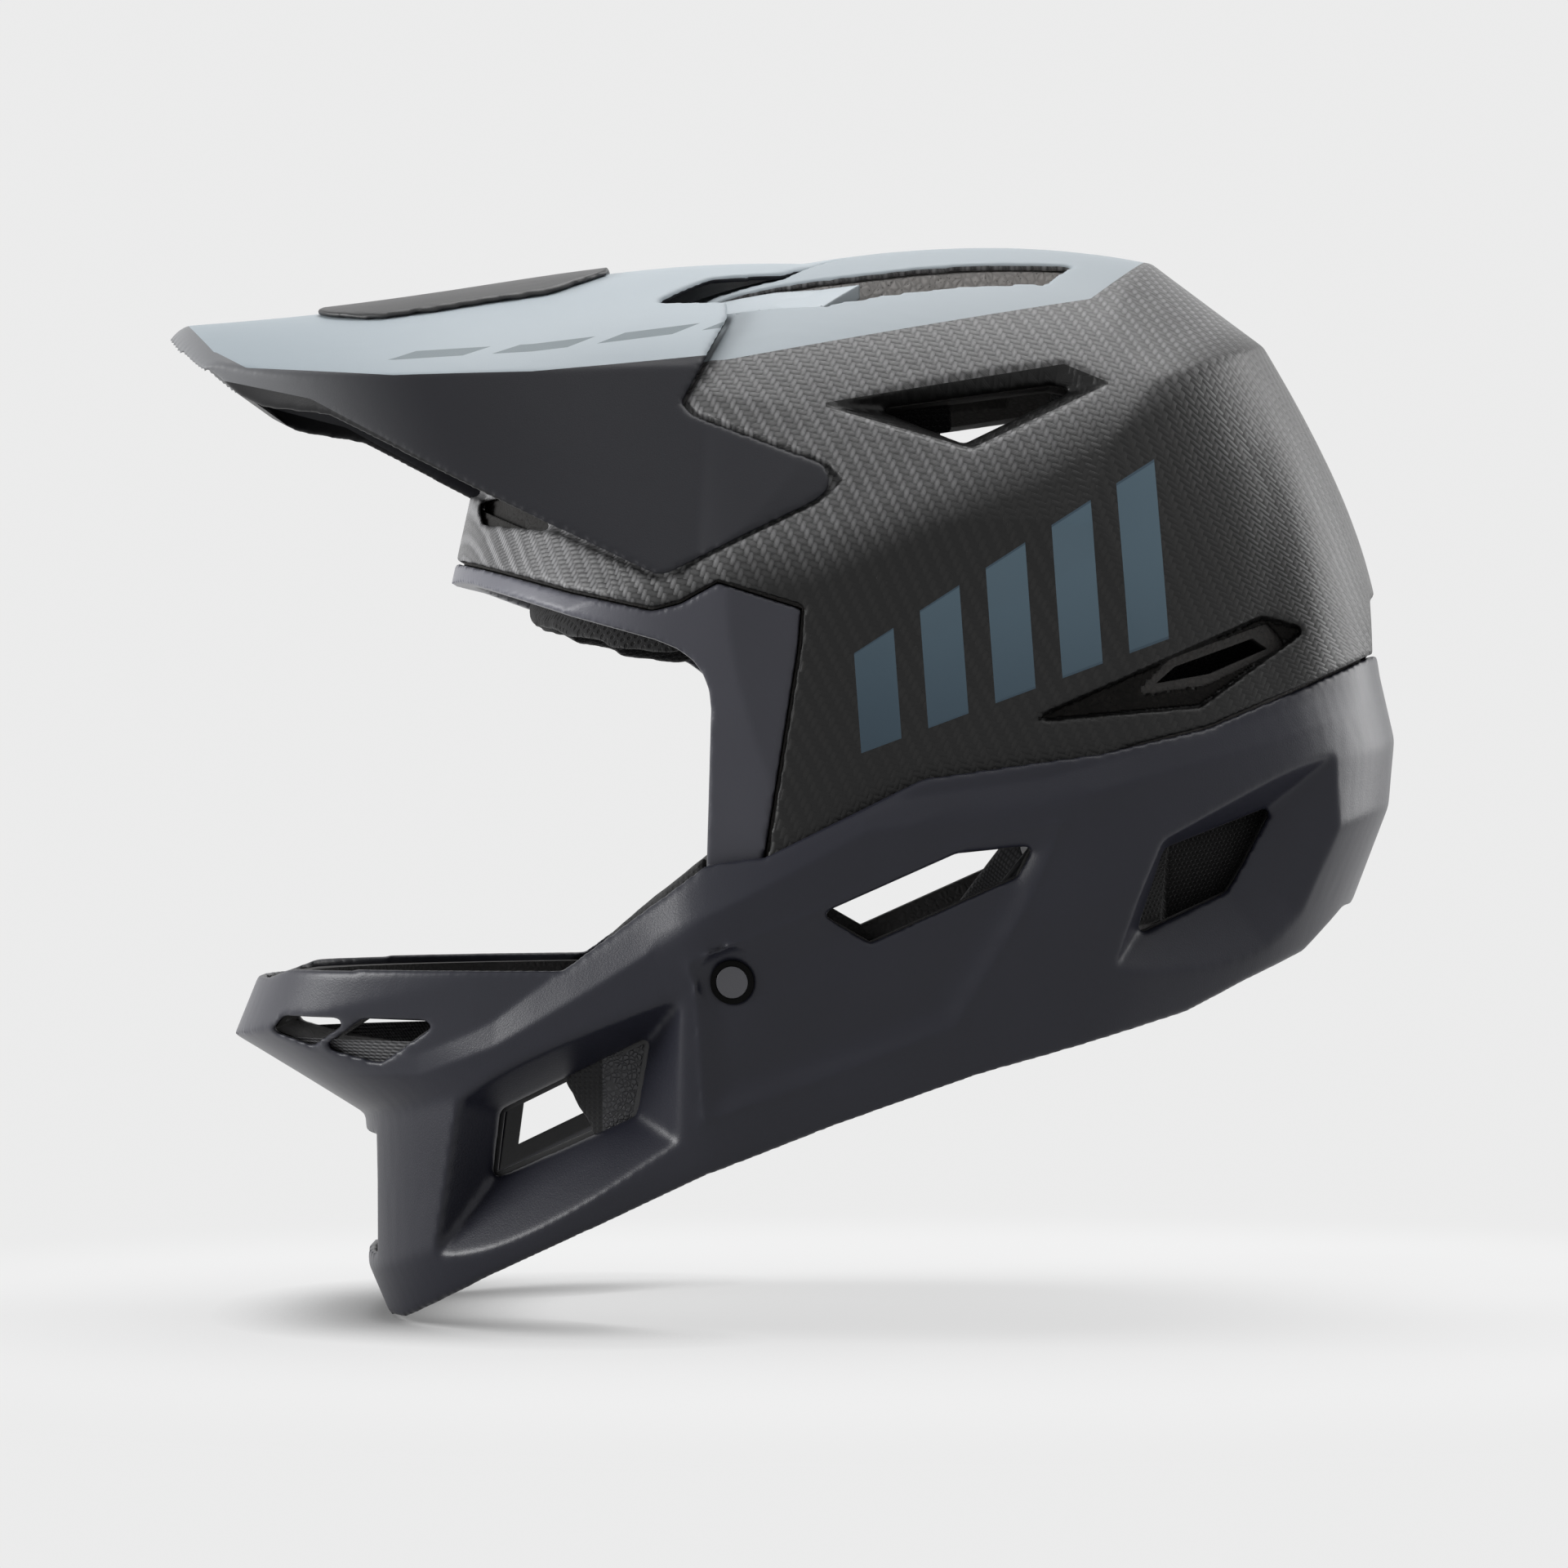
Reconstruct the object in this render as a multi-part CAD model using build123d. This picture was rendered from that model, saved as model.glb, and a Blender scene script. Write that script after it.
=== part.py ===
from build123d import *
import math
import os

# Overall sizes in millimetres, with the helmet held level as it is worn
LENGTH = 366.0  # peak tip to the back of the shell, along X
HEIGHT = 320.0  # chin corner to the crown, along Z
WIDTH = 238.0  # over the sides of the jaw shell, along Y
HALF_WIDTH = WIDTH / 2

# The origin is the middle of the wearer's head, as shares of the length and the height
ORIGIN_SHARES = (0.616, 0.545)

# Plan outlines cut the crown only, which is what lies above this share of the height
TOP_ONLY_SHARE = 0.80

# Walls, foam and gaps
FIT_GAP = 0.4
SEAT_GAP = 0.2
SEAM_GAP = 0.8
SHELL_WALL = 2.4
JAW_WALL = 3.0
PEAK_WALL = 2.4
FRAME_DEPTH = 9.0
CROWN_FOAM = 25.0
JAW_FOAM = 17.0
CHIN_FOAM = 11.0
MESH_WALL = 1.0
GRILLE_WALL = 2.5
COMFORT_PAD = 7.0
CHEEK_PAD = 18.0
NECK_PAD = 9.0
OVERRUN = 60.0

# The arched top and the steps of each quarter of a hoop
ROOF_RADIUS = 116.0
ROOF_HALF_ANGLE = 75.0
QUARTER_STEPS = 4

# How far each surface lies inside the outer form
CROWN_FOAM_OUT = SHELL_WALL + FIT_GAP
CROWN_FOAM_IN = CROWN_FOAM_OUT + CROWN_FOAM
CROWN_PAD_OUT = CROWN_FOAM_IN + SEAT_GAP
CROWN_PAD_IN = CROWN_PAD_OUT + COMFORT_PAD
PEAK_STEP = PEAK_WALL + FIT_GAP
FRAME_CLEAR = FRAME_DEPTH + FIT_GAP
JAW_FOAM_OUT = JAW_WALL + FIT_GAP
JAW_FOAM_IN = JAW_FOAM_OUT + JAW_FOAM
JAW_PAD_OUT = JAW_FOAM_IN + SEAT_GAP
CHEEK_PAD_IN = JAW_PAD_OUT + CHEEK_PAD
NECK_PAD_IN = JAW_PAD_OUT + NECK_PAD
MESH_OUT = JAW_WALL + SEAT_GAP
MESH_IN = MESH_OUT + MESH_WALL
GRILLE_IN = MESH_OUT + GRILLE_WALL
CHIN_FOAM_OUT = MESH_IN + SEAT_GAP
CHIN_FOAM_IN = CHIN_FOAM_OUT + CHIN_FOAM


# Placing points and outlines

def side(point_shares, across=0.0):
    """A point of the side view, given as shares of the length and the height."""
    along = (point_shares[0] - ORIGIN_SHARES[0]) * LENGTH
    up = (point_shares[1] - ORIGIN_SHARES[1]) * HEIGHT
    return Vector(along, across, up)


def grown(points, amount):
    """The corners of a flat outline in the XZ plane, moved out by an amount, in the same order."""
    if amount == 0:
        return points
    count = len(points)
    area = sum(
        points[i].X * points[(i + 1) % count].Z - points[(i + 1) % count].X * points[i].Z
        for i in range(count)
    )
    sense = 1 if area > 0 else -1
    moved = []
    for i in range(count):
        before = points[i] - points[i - 1]
        after = points[(i + 1) % count] - points[i]
        out_before = Vector(before.Z, 0, -before.X).normalized() * sense
        out_after = Vector(after.Z, 0, -after.X).normalized() * sense
        share = 1 + out_before.dot(out_after)
        moved.append(points[i] + (out_before + out_after) * (amount / share))
    return moved


def flat(points):
    return Face(Wire(Polyline(*points, close=True)))


def prism(outline_shares, grow=0.0):
    """A side view outline run right across the helmet."""
    reach = HALF_WIDTH + OVERRUN
    points = grown([side(p) for p in outline_shares], grow)
    face = flat([Vector(p.X, -reach, p.Z) for p in points])
    return extrude(face, amount=2 * reach, dir=(0, 1, 0))


def plan_prism(plan_shares, grow=0.0):
    """A plan outline, as shares of the length and the half width, run up through the crown only."""
    level = side((0, TOP_ONLY_SHARE)).Z
    points = grown([Vector(side(p).X, 0, p[1] * HALF_WIDTH) for p in plan_shares], grow)
    face = flat([Vector(p.X, p.Z, level) for p in points])
    return extrude(face, amount=HEIGHT / 2, dir=(0, 0, 1))


def both_sides(solid):
    return [solid, mirror(solid, about=Plane.XZ)]


def half_space(sign, gap=0.0):
    """Everything on one side of the middle plane, from a gap outwards."""
    return Pos(0, sign * (gap + WIDTH), 0) * Box(3 * LENGTH, 2 * WIDTH, 3 * HEIGHT)


def biggest(shape):
    return max(shape.solids(), key=lambda s: s.volume)


def keep_real(shape, least_share=0.02):
    """The solids of a shape without the crumbs that a grazing cut leaves."""
    solids = shape.solids()
    least = least_share * max(s.volume for s in solids)
    return Compound(children=[s for s in solids if s.volume > least])


# The outer form is lofted through hoops. Each hoop has its front and back points, its half width, the place
# of its widest point, and how square its front and its back are.
BAND_HOOPS_SHARES = [
    ((0.215, 0.600), (0.894, 0.905), 0.95, 0.52, 2.3, 2.3),
    ((0.262, 0.850), (0.803, 0.985), 0.66, 0.46, 2.2, 2.0),
]
BODY_HOOPS_SHARES = [
    ((0.215, 0.600), (0.894, 0.905), 0.95, 0.52, 2.3, 2.3),
    ((0.212, 0.500), (0.957, 0.767), 0.985, 0.56, 2.3, 2.3),
    ((0.203, 0.400), (0.984, 0.672), 0.972, 0.58, 2.3, 2.3),
    ((0.180, 0.200), (0.980, 0.450), 0.94, 0.60, 2.3, 2.3),
]
JAW_HOOPS_SHARES = [
    ((0.100, 0.480), (0.975, 0.700), 1.00, 0.60, 2.3, 2.3),
    ((0.074, 0.322), (0.988, 0.600), 1.00, 0.62, 2.3, 2.3),
    ((0.054, 0.266), (1.000, 0.541), 0.99, 0.62, 2.2, 2.3),
    ((0.162, 0.193), (0.995, 0.480), 0.98, 0.62, 2.7, 2.3),
    ((0.165, 0.055), (0.960, 0.375), 0.93, 0.62, 2.9, 2.3),
    ((0.193, -0.02), (0.930, 0.300), 0.88, 0.62, 2.9, 2.3),
]
ROOF_SPINE_SHARES = [
    (0.20, 0.700), (0.30, 0.865), (0.42, 0.955), (0.573, 0.994), (0.68, 1.0), (0.803, 0.985), (1.0, 0.94),
]
BAND_BEYOND_SHARE = 0.5


def quarter(end, centre, half_width, power, sign):
    """A quarter of a hoop, from its end point to its widest point on one side."""
    points = []
    for step in range(QUARTER_STEPS + 1):
        turn = math.pi / 2 * step / QUARTER_STEPS
        reach = math.cos(turn) ** (2 / power) if step < QUARTER_STEPS else 0
        out = math.sin(turn) ** (2 / power)
        points.append(centre + (end - centre) * reach + Vector(0, sign * half_width * out, 0))
    return Spline(*points, tangents=(Vector(0, sign, 0), (centre - end).normalized()))


def hoop(shares, inset=0.0):
    front, back = side(shares[0]), side(shares[1])
    run = (back - front).normalized()
    front = front + run * inset
    back = back - run * inset
    half_width = shares[2] * HALF_WIDTH - inset
    centre = front + (back - front) * shares[3]
    ends = ((front, shares[4]), (back, shares[5]))
    edges = [quarter(end, centre, half_width, power, sign) for sign in (-1, 1) for end, power in ends]
    return Face(Wire(edges))


def roof(inset=0.0):
    """Everything under the arched top, which runs along the spine of the crown."""
    turn = math.radians(ROOF_HALF_ANGLE)
    radius = ROOF_RADIUS - inset
    low = Vector(0, 0, -HEIGHT)
    sections = []
    for spine_shares in ROOF_SPINE_SHARES:
        peak = side(spine_shares) - Vector(0, 0, inset)
        fall = Vector(0, 0, radius * (math.cos(turn) - 1))
        out = Vector(0, radius * math.sin(turn), 0)
        left, right = peak + fall - out, peak + fall + out
        walls = [Line(right, right + low), Line(right + low, left + low), Line(left + low, left)]
        sections.append(Face(Wire([ThreePointArc(left, peak, right)] + walls)))
    return loft(sections)


def beyond(low, high):
    """The high hoop carried on past itself, away from the low one."""
    ends = tuple(tuple(h + (h - l) * BAND_BEYOND_SHARE for h, l in zip(high[i], low[i])) for i in (0, 1))
    return ends + (high[2] + (high[2] - low[2]) * BAND_BEYOND_SHARE,) + high[3:]


made = {}


def crown_form(inset=0.0):
    """The head part of the helmet, taken in by an inset."""
    key = ("crown", round(inset, 3))
    if key not in made:
        low, high = BAND_HOOPS_SHARES
        band = loft([hoop(low, inset), hoop(beyond(low, high), inset)], ruled=True)
        body = loft([hoop(s, inset) for s in BODY_HOOPS_SHARES])
        made[key] = (band + body) & roof(inset)
    return made[key]


def jaw_form(inset=0.0):
    """The jaw and chin part of the helmet, taken in by an inset."""
    key = ("jaw", round(inset, 3))
    if key not in made:
        made[key] = loft([hoop(s, inset) for s in JAW_HOOPS_SHARES], ruled=True)
    return made[key]


# The peak is a prow that merges into the crown form. Each station has its centre point, its crease point, and
# the half widths of its crease and of its lower edge. All three lie in one plane.
PEAK_STATIONS_SHARES = [
    ((0.000, 0.926), (0.038, 0.886), 0.46, 0.52),
    ((0.105, 0.936), (0.135, 0.868), 0.60, 0.70),
    ((0.240, 0.956), (0.262, 0.868), 0.665, 0.86),
    ((0.440, 0.984), (0.455, 0.872), 0.695, 1.00),
    ((0.520, 0.985), (0.530, 0.868), 0.765, 1.05),
    ((0.620, 0.975), (0.630, 0.860), 0.80, 1.07),
]
PEAK_DROP_SHARE = 2.0
PEAK_SIDE_SHARES = [
    (-0.05, 0.917), (0.000, 0.917), (0.021, 0.884), (0.045, 0.867), (0.0916, 0.840), (0.145, 0.831),
    (0.274, 0.755), (0.405, 0.683), (0.414, 0.685), (0.528, 0.749), (0.545, 0.767), (0.534, 0.782),
    (0.432, 0.828), (0.423, 0.839), (0.4577, 0.9175), (0.4577, 1.15), (-0.05, 1.15),
]
TOOTH_PLAN_SHARES = [(0.400, 0.44), (0.52, 0.51), (0.52, 0.31), (0.4437, 0.31)]
TONGUE_HALF_PLAN_SHARES = [(0.40, 0.31), (0.4993, 0.30), (0.5225, 0.21), (0.572, 0.06)]
SPINE_HALF_PLAN_SHARES = [(0.125, 0.13), (0.150, 0.19), (0.335, 0.21), (0.360, 0.15)]
SPINE_RISE = 1.8


def mirrored_outline(half_shares):
    return half_shares + [(along, -across) for along, across in reversed(half_shares)]


def prow(inset=0.0):
    """The block that the peak is cut from, taken in by an inset."""
    sections = []
    for number, (centre, crease, crease_share, low_share) in enumerate(PEAK_STATIONS_SHARES):
        top, bend = side(centre), side(crease)
        low = bend + (bend - top) * PEAK_DROP_SHARE
        fall = (bend - top).normalized()
        back = Vector(max(inset, 0), 0, 0) if number == 0 else Vector(0, 0, 0)
        top = top + fall * inset + back
        ends = ((bend + fall * inset / 2, crease_share), (low, low_share))
        (left, right), (low_left, low_right) = (
            [point + back + Vector(0, sign * (share * HALF_WIDTH - inset), 0) for sign in (-1, 1)]
            for point, share in ends
        )
        walls = [Line(right, low_right), Line(low_right, low_left), Line(low_left, left)]
        sections.append(Face(Wire([ThreePointArc(left, top, right)] + walls)))
    return loft(sections)


def peak_region(grow=0.0):
    """Where the peak lies over the crown form."""
    region = prism(PEAK_SIDE_SHARES, grow)
    region = region - both_sides(plan_prism(TOOTH_PLAN_SHARES, -grow))
    return region + plan_prism(mirrored_outline(TONGUE_HALF_PLAN_SHARES), grow)


# Pockets in the sides have sloped walls and a flat floor. Each lies on a plane fitted to the form.
POCKET_OUT_SHARE = 0.9


def surface(form, point):
    """The near side surface of a form, met by a line across the helmet."""
    far = Vector(point.X, -HALF_WIDTH - OVERRUN, point.Z)
    crossing = Line(far, Vector(point.X, 0, point.Z)) & form
    return min((Vector(*v) for v in crossing.vertices()), key=lambda v: v.Y)


def front_surface(form, across, level):
    """The front surface of a form, met by a line along the helmet."""
    crossing = Line(Vector(-LENGTH, across, level), Vector(0, across, level)) & form
    return min((Vector(*v) for v in crossing.vertices()), key=lambda v: v.X)


def fitted_plane(form, points):
    """The middle and the inward normal of a plane through points of a form's near side."""
    hits = [surface(form, p) for p in points]
    centre = sum(hits, Vector(0, 0, 0)) * (1 / len(hits))
    turns = [(hits[i - 1] - centre).cross(hits[i] - centre) for i in range(len(hits))]
    normal = sum(turns, Vector(0, 0, 0)).normalized()
    return centre, normal * (1 if normal.Y > 0 else -1)


def on_plane(plane, point, deeper=0.0):
    centre, normal = plane
    across = (centre - Vector(point.X, 0, point.Z)).dot(normal) / normal.Y
    return Vector(point.X, across + deeper, point.Z)


def pocket(plane, outer_shares, floor_shares, depth, wall=0.0):
    """A cut with sloped walls from the outer outline down to the floor outline, on the near side."""
    outer = [on_plane(plane, p) for p in grown([side(p) for p in outer_shares], wall)]
    floor = [on_plane(plane, p, depth + wall) for p in grown([side(p) for p in floor_shares], wall)]
    outer = [o + (o - f) * POCKET_OUT_SHARE for o, f in zip(outer, floor)]
    return loft([flat(outer), flat(floor)], ruled=True)


def plate(plane, outline_shares, low, high, grow=0.0):
    """A flat plate on a fitted plane, between two depths."""
    points = grown([side(p) for p in outline_shares], grow)
    return loft([flat([on_plane(plane, p, depth) for p in points]) for depth in (low, high)], ruled=True)


# Outlines in side view. The crown shell and the frame tuck in behind the rim of the jaw shell.
CROWN_OUTLINE_SHARES = [
    (0.15, 0.730), (0.233, 0.708), (0.337, 0.672), (0.401, 0.655), (0.423, 0.661), (0.452, 0.679),
    (0.518, 0.656), (0.515, 0.616), (0.490, 0.436), (0.487, 0.417), (0.609, 0.485), (0.747, 0.507),
    (0.831, 0.530), (0.967, 0.595), (1.05, 0.62), (1.05, 1.10), (0.15, 1.10),
]
FRAME_OUTLINE_SHARES = [
    (0.15, 0.726), (0.233, 0.705), (0.337, 0.669), (0.401, 0.652), (0.423, 0.658), (0.452, 0.676),
    (0.5155, 0.653), (0.5125, 0.616), (0.4875, 0.436), (0.4845, 0.417), (0.443, 0.410), (0.443, 0.428),
    (0.4465, 0.565), (0.445, 0.582), (0.440, 0.597), (0.432, 0.609), (0.420, 0.619), (0.403, 0.627),
    (0.336, 0.649), (0.252, 0.682), (0.15, 0.70),
]
JAW_OUTLINE_SHARES = [
    (0.03, 0.322), (0.09, 0.322), (0.112, 0.332), (0.331, 0.334), (0.443, 0.428), (0.490, 0.436),
    (0.609, 0.504), (0.747, 0.526), (0.831, 0.549), (0.967, 0.614), (1.05, 0.64), (1.05, 0.40),
    (0.949, 0.387), (0.912, 0.348), (0.865, 0.325), (0.815, 0.297), (0.735, 0.270), (0.649, 0.242),
    (0.541, 0.198), (0.443, 0.154), (0.274, 0.060), (0.201, 0.013), (0.16, 0.006), (0.03, 0.006),
]
FOAM_SPLIT_SHARES = [
    (0.49, 0.405), (0.609, 0.473), (0.747, 0.495), (0.831, 0.518), (0.967, 0.583), (1.05, 0.61),
]
CROWN_FOAM_SHARES = [
    (0.15, 0.735), (0.235, 0.700), (0.336, 0.660), (0.413, 0.635), (0.440, 0.612), (0.455, 0.583),
    (0.452, 0.400),
] + FOAM_SPLIT_SHARES + [(1.05, 1.10), (0.15, 1.10)]
JAW_FOAM_SHARES = [(0.412, 0.150), (0.412, 0.360), (0.452, 0.400)] + FOAM_SPLIT_SHARES + [
    (1.05, 0.41), (0.945, 0.400), (0.908, 0.361), (0.862, 0.338), (0.812, 0.310), (0.733, 0.283),
    (0.647, 0.255), (0.539, 0.211), (0.443, 0.168),
]
CHIN_FOAM_SHARES = [
    (0.03, 0.215), (0.03, 0.314), (0.112, 0.324), (0.325, 0.326), (0.300, 0.300), (0.235, 0.225),
]
REAR_NOTCH_SHARES = [(0.973, 0.50), (0.973, 0.667), (0.986, 0.679), (1.10, 0.70), (1.10, 0.45)]

# Openings of the jaw shell
WINDOW_OUTER_SHARES = [(0.248, 0.215), (0.426, 0.315), (0.422, 0.184), (0.229, 0.074)]
WINDOW_HOLE_SHARES = [(0.280, 0.206), (0.399, 0.275), (0.388, 0.204), (0.273, 0.143)]
WINDOW_DEPTH = 13.0
TRIM_LOW = WINDOW_DEPTH + JAW_WALL + SEAT_GAP
TRIM_WALL = 2.0
TRIM_RIM = 3.5
TRIM_LIP = 1.2
HOLLOW_SHARES = [
    (0.427, 0.342), (0.528, 0.388), (0.647, 0.450), (0.719, 0.468), (0.690, 0.390), (0.635, 0.283),
    (0.520, 0.232), (0.440, 0.200), (0.434, 0.320),
]
HOLLOW_DEPTH = 3.0
CHEEK_VENT_SHARES = [(0.531, 0.385), (0.635, 0.438), (0.694, 0.445), (0.682, 0.418), (0.569, 0.360)]
REAR_VENT_OUTER_SHARES = [(0.938, 0.528), (0.908, 0.384), (0.874, 0.362), (0.750, 0.326), (0.795, 0.449)]
REAR_VENT_HOLE_SHARES = [(0.886, 0.480), (0.860, 0.425), (0.848, 0.403), (0.775, 0.366), (0.797, 0.442)]
REAR_VENT_DEPTH = 9.0
BEAK_VENTS_SHARES = [
    [(0.094, 0.274), (0.104, 0.288), (0.163, 0.288), (0.128, 0.262)],
    [(0.172, 0.288), (0.234, 0.287), (0.185, 0.248), (0.137, 0.260)],
]
BEAK_MESH_SHARES = [(0.100, 0.243), (0.100, 0.268), (0.225, 0.268), (0.235, 0.255), (0.190, 0.236)]
MOUTH_WIDTH = 88.0
MOUTH_LEVELS_SHARES = (0.070, 0.178)
MOUTH_REACH_SHARE = 0.235
GRILLE_LAP = 4.0
GRILLE_COLUMNS = 9
GRILLE_ROWS = 5
GRILLE_BAR = 2.2

# Openings of the crown shell
SIDE_VENT_OUTER_SHARES = [(0.531, 0.836), (0.723, 0.876), (0.758, 0.856), (0.648, 0.793)]
SIDE_VENT_HOLE_SHARES = [(0.575, 0.833), (0.711, 0.855), (0.730, 0.851), (0.642, 0.801)]
SIDE_VENT_DEPTH = 6.0
LOW_VENT_OUTER_SHARES = [(0.686, 0.553), (0.875, 0.649), (0.913, 0.638), (0.825, 0.567)]
LOW_VENT_HOLE_SHARES = [(0.772, 0.577), (0.801, 0.609), (0.880, 0.642), (0.896, 0.624), (0.833, 0.588)]
LOW_VENT_SLOT_SHARES = [(0.790, 0.588), (0.805, 0.603), (0.868, 0.629), (0.880, 0.620), (0.833, 0.597)]
LOW_VENT_DEPTH = 3.0
BROW_VENT_SHARES = [(0.257, 0.759), (0.261, 0.737), (0.322, 0.726), (0.296, 0.762)]
TOP_VENT_PLAN_SHARES = [
    (0.410, 0.42), (0.535, 0.515), (0.709, 0.470), (0.735, 0.330), (0.660, 0.350), (0.569, 0.370),
    (0.460, 0.345),
]
TOP_SLOT_PLAN_SHARES = [(0.590, 0.40), (0.590, 0.46), (0.690, 0.43), (0.695, 0.38)]
RAMP_PLAN_SHARES = [(0.445, 0.375), (0.445, 0.425), (0.530, 0.480), (0.530, 0.395)]
RAMP_OUT = 5.4

# Pads, as outlines in side view and in plan
BROW_PAD_SHARES = [
    (0.20, 0.780), (0.20, 0.663), (0.300, 0.643), (0.357, 0.622), (0.410, 0.610), (0.460, 0.620),
    (0.470, 0.690), (0.400, 0.740), (0.330, 0.780),
]
REAR_PAD_SHARES = [(0.800, 0.690), (1.0, 0.760), (1.0, 0.610), (0.800, 0.545)]
CROWN_STRIP_HALF_PLAN_SHARES = [(0.400, 0.13), (0.440, 0.17), (0.800, 0.17), (0.840, 0.13)]
CROWN_BARS_SHARES = (0.470, 0.610, 0.750)
CROWN_BAR_SHARE = 0.065
CROWN_BAR_REACH_SHARE = 0.56
CHEEK_PAD_SHARES = [
    (0.336, 0.205), (0.336, 0.330), (0.440, 0.442), (0.472, 0.438), (0.525, 0.372), (0.580, 0.345),
    (0.620, 0.350), (0.612, 0.300), (0.590, 0.245), (0.500, 0.205), (0.420, 0.165),
]
CHEEK_MIDDLE_SHARES = (0.480, 0.315)
CHEEK_CROWN_RADII = (66.0, CHEEK_PAD, 60.0)
CHEEK_TURN = 14.0
NECK_ROLL_SHARES = [
    (0.805, 0.350), (0.860, 0.370), (0.905, 0.400), (0.960, 0.430), (0.960, 0.520), (0.890, 0.480),
    (0.805, 0.430),
]

# Screws that hold the cheek pads
SCREW_SHARES = (0.463, 0.325)
SCREW_HEAD_RADIUS = 4.5
SCREW_HEAD = 1.6
SCREW_SHANK_RADIUS = 2.2
SCREW_SHANK = 4.4
WASHER_RADIUS = 6.2
WASHER_WALL = 1.6
WASHER_SUNK = 1.0

# Prongs that hold the peak in the bushes of the crown shell
PRONG_RADIUS = 3.4
PRONG_IN = 12.0
PRONG_OUT = 13.0
PRONG_ACROSS = 42.0
PRONG_LEVEL_SHARE = 0.822
STALK_WIDTH = 7.0
BUSH_RADIUS = 6.0
BUSH_LENGTH = 10.0

# Chin strap, hanging in a plane that leans forward as it drops
STRAP_TOP_SHARES = (0.725, 0.440)
STRAP_LOW_SHARES = (0.620, 0.285)
STRAP_WIDTH = 20.0
STRAP_WALL = 1.6
STRAP_END = 9.0
STRAP_PATH_SHARES = [(0.93, 0.42), (0.76, 0.74), (0.60, 0.91)]
STRAP_OVERLAP = 10.0
ANCHOR_HEAD_RADIUS = 7.0
ANCHOR_HEAD = 2.0
ANCHOR_SHANK_RADIUS = 3.0
ANCHOR_SHANK = 9.0
BUCKLE_LENGTH = 40.0
BUCKLE_WIDTH = 24.0
BUCKLE_DEPTH = 8.0
BUCKLE_WALL = 2.0
BUCKLE_CENTRE = -24.0
TONGUE_LENGTH = 44.0
TONGUE_WIDTH = 16.0
TONGUE_WALL = 2.2
TOOTH_COUNT = 8
TOOTH_RISE = 1.0
LEVER_LENGTH = 30.0
LEVER_WIDTH = 16.0
LEVER_WALL = 2.2
EAR_LENGTH = 6.0
EAR_RISE = 5.0
PAWL_LENGTH = 3.0
PAWL_WIDTH = 10.0
PAWL_OVER = 0.5
PIN_RADIUS = 1.5
PIN_CLEAR = 0.08


# Carved forms, which every skin and liner is taken from
window_plane = fitted_plane(jaw_form(), [side(p) for p in WINDOW_OUTER_SHARES])
rear_vent_plane = fitted_plane(jaw_form(), [side(p) for p in REAR_VENT_OUTER_SHARES])
side_vent_plane = fitted_plane(crown_form(), [side(p) for p in SIDE_VENT_OUTER_SHARES])
JAW_POCKETS = [
    (window_plane, WINDOW_OUTER_SHARES, WINDOW_HOLE_SHARES, WINDOW_DEPTH),
    (rear_vent_plane, REAR_VENT_OUTER_SHARES, REAR_VENT_HOLE_SHARES, REAR_VENT_DEPTH),
]


def jaw_carved(inset=0.0):
    """The jaw form with its hollows and pockets, taken in by an inset."""
    solid = jaw_form(inset) - (prism(HOLLOW_SHARES, inset) - jaw_form(inset + HOLLOW_DEPTH))
    for plane, outer, floor, depth in JAW_POCKETS:
        solid = solid - both_sides(pocket(plane, outer, floor, depth, inset))
    return solid


def crown_carved(inset=0.0):
    """The crown form with the step under the peak and its pockets, taken in by an inset."""
    solid = (crown_form(inset) - peak_region(SEAM_GAP + inset)) + crown_form(inset + PEAK_STEP)
    side_pocket = pocket(
        side_vent_plane, SIDE_VENT_OUTER_SHARES, SIDE_VENT_HOLE_SHARES, SIDE_VENT_DEPTH, inset
    )
    low_pocket = prism(LOW_VENT_OUTER_SHARES, inset) - crown_form(inset + LOW_VENT_DEPTH)
    return solid - both_sides(side_pocket) - low_pocket - prism(REAR_NOTCH_SHARES, inset)


# Places of the screws and of the prongs
screw_place = side(SCREW_SHARES)
around = [Vector(WASHER_RADIUS, 0, 0), Vector(0, 0, WASHER_RADIUS), Vector(-WASHER_RADIUS, 0, 0)]
around = [screw_place + step for step in around + [Vector(0, 0, -WASHER_RADIUS)]]
screw_centre, screw_inward = fitted_plane(jaw_form(HOLLOW_DEPTH), around)
screw_plane = Plane(origin=screw_centre, z_dir=-screw_inward)
prong_level = side((0, PRONG_LEVEL_SHARE)).Z
prong_mouth = front_surface(crown_form(PEAK_STEP), PRONG_ACROSS, prong_level)


def disc(plane, radius, low, high):
    return plane * Pos(0, 0, (low + high) / 2) * Cylinder(radius, high - low)


def prong_rod(radius, ahead, behind):
    """A round bar along X through the mouth of the prong hole, on both sides of the helmet."""
    middle = prong_mouth + Vector((behind - ahead) / 2, 0, 0)
    rod = Pos(middle) * Rot(0, 90, 0) * Cylinder(radius, ahead + behind)
    return both_sides(rod)


# Jaw shell with its grille, trims, mesh and screws
beak_vents = [prism(shares) for shares in BEAK_VENTS_SHARES]
mouth_low, mouth_high = (side((0, level)).Z for level in MOUTH_LEVELS_SHARES)
mouth_back = side((MOUTH_REACH_SHARE, 0)).X


def mouth_box(lap=0.0):
    height = mouth_high - mouth_low + 2 * lap
    middle = Pos(mouth_back - LENGTH / 4, 0, (mouth_low + mouth_high) / 2)
    return middle * Box(LENGTH / 2, MOUTH_WIDTH + 2 * lap, height)


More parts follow.
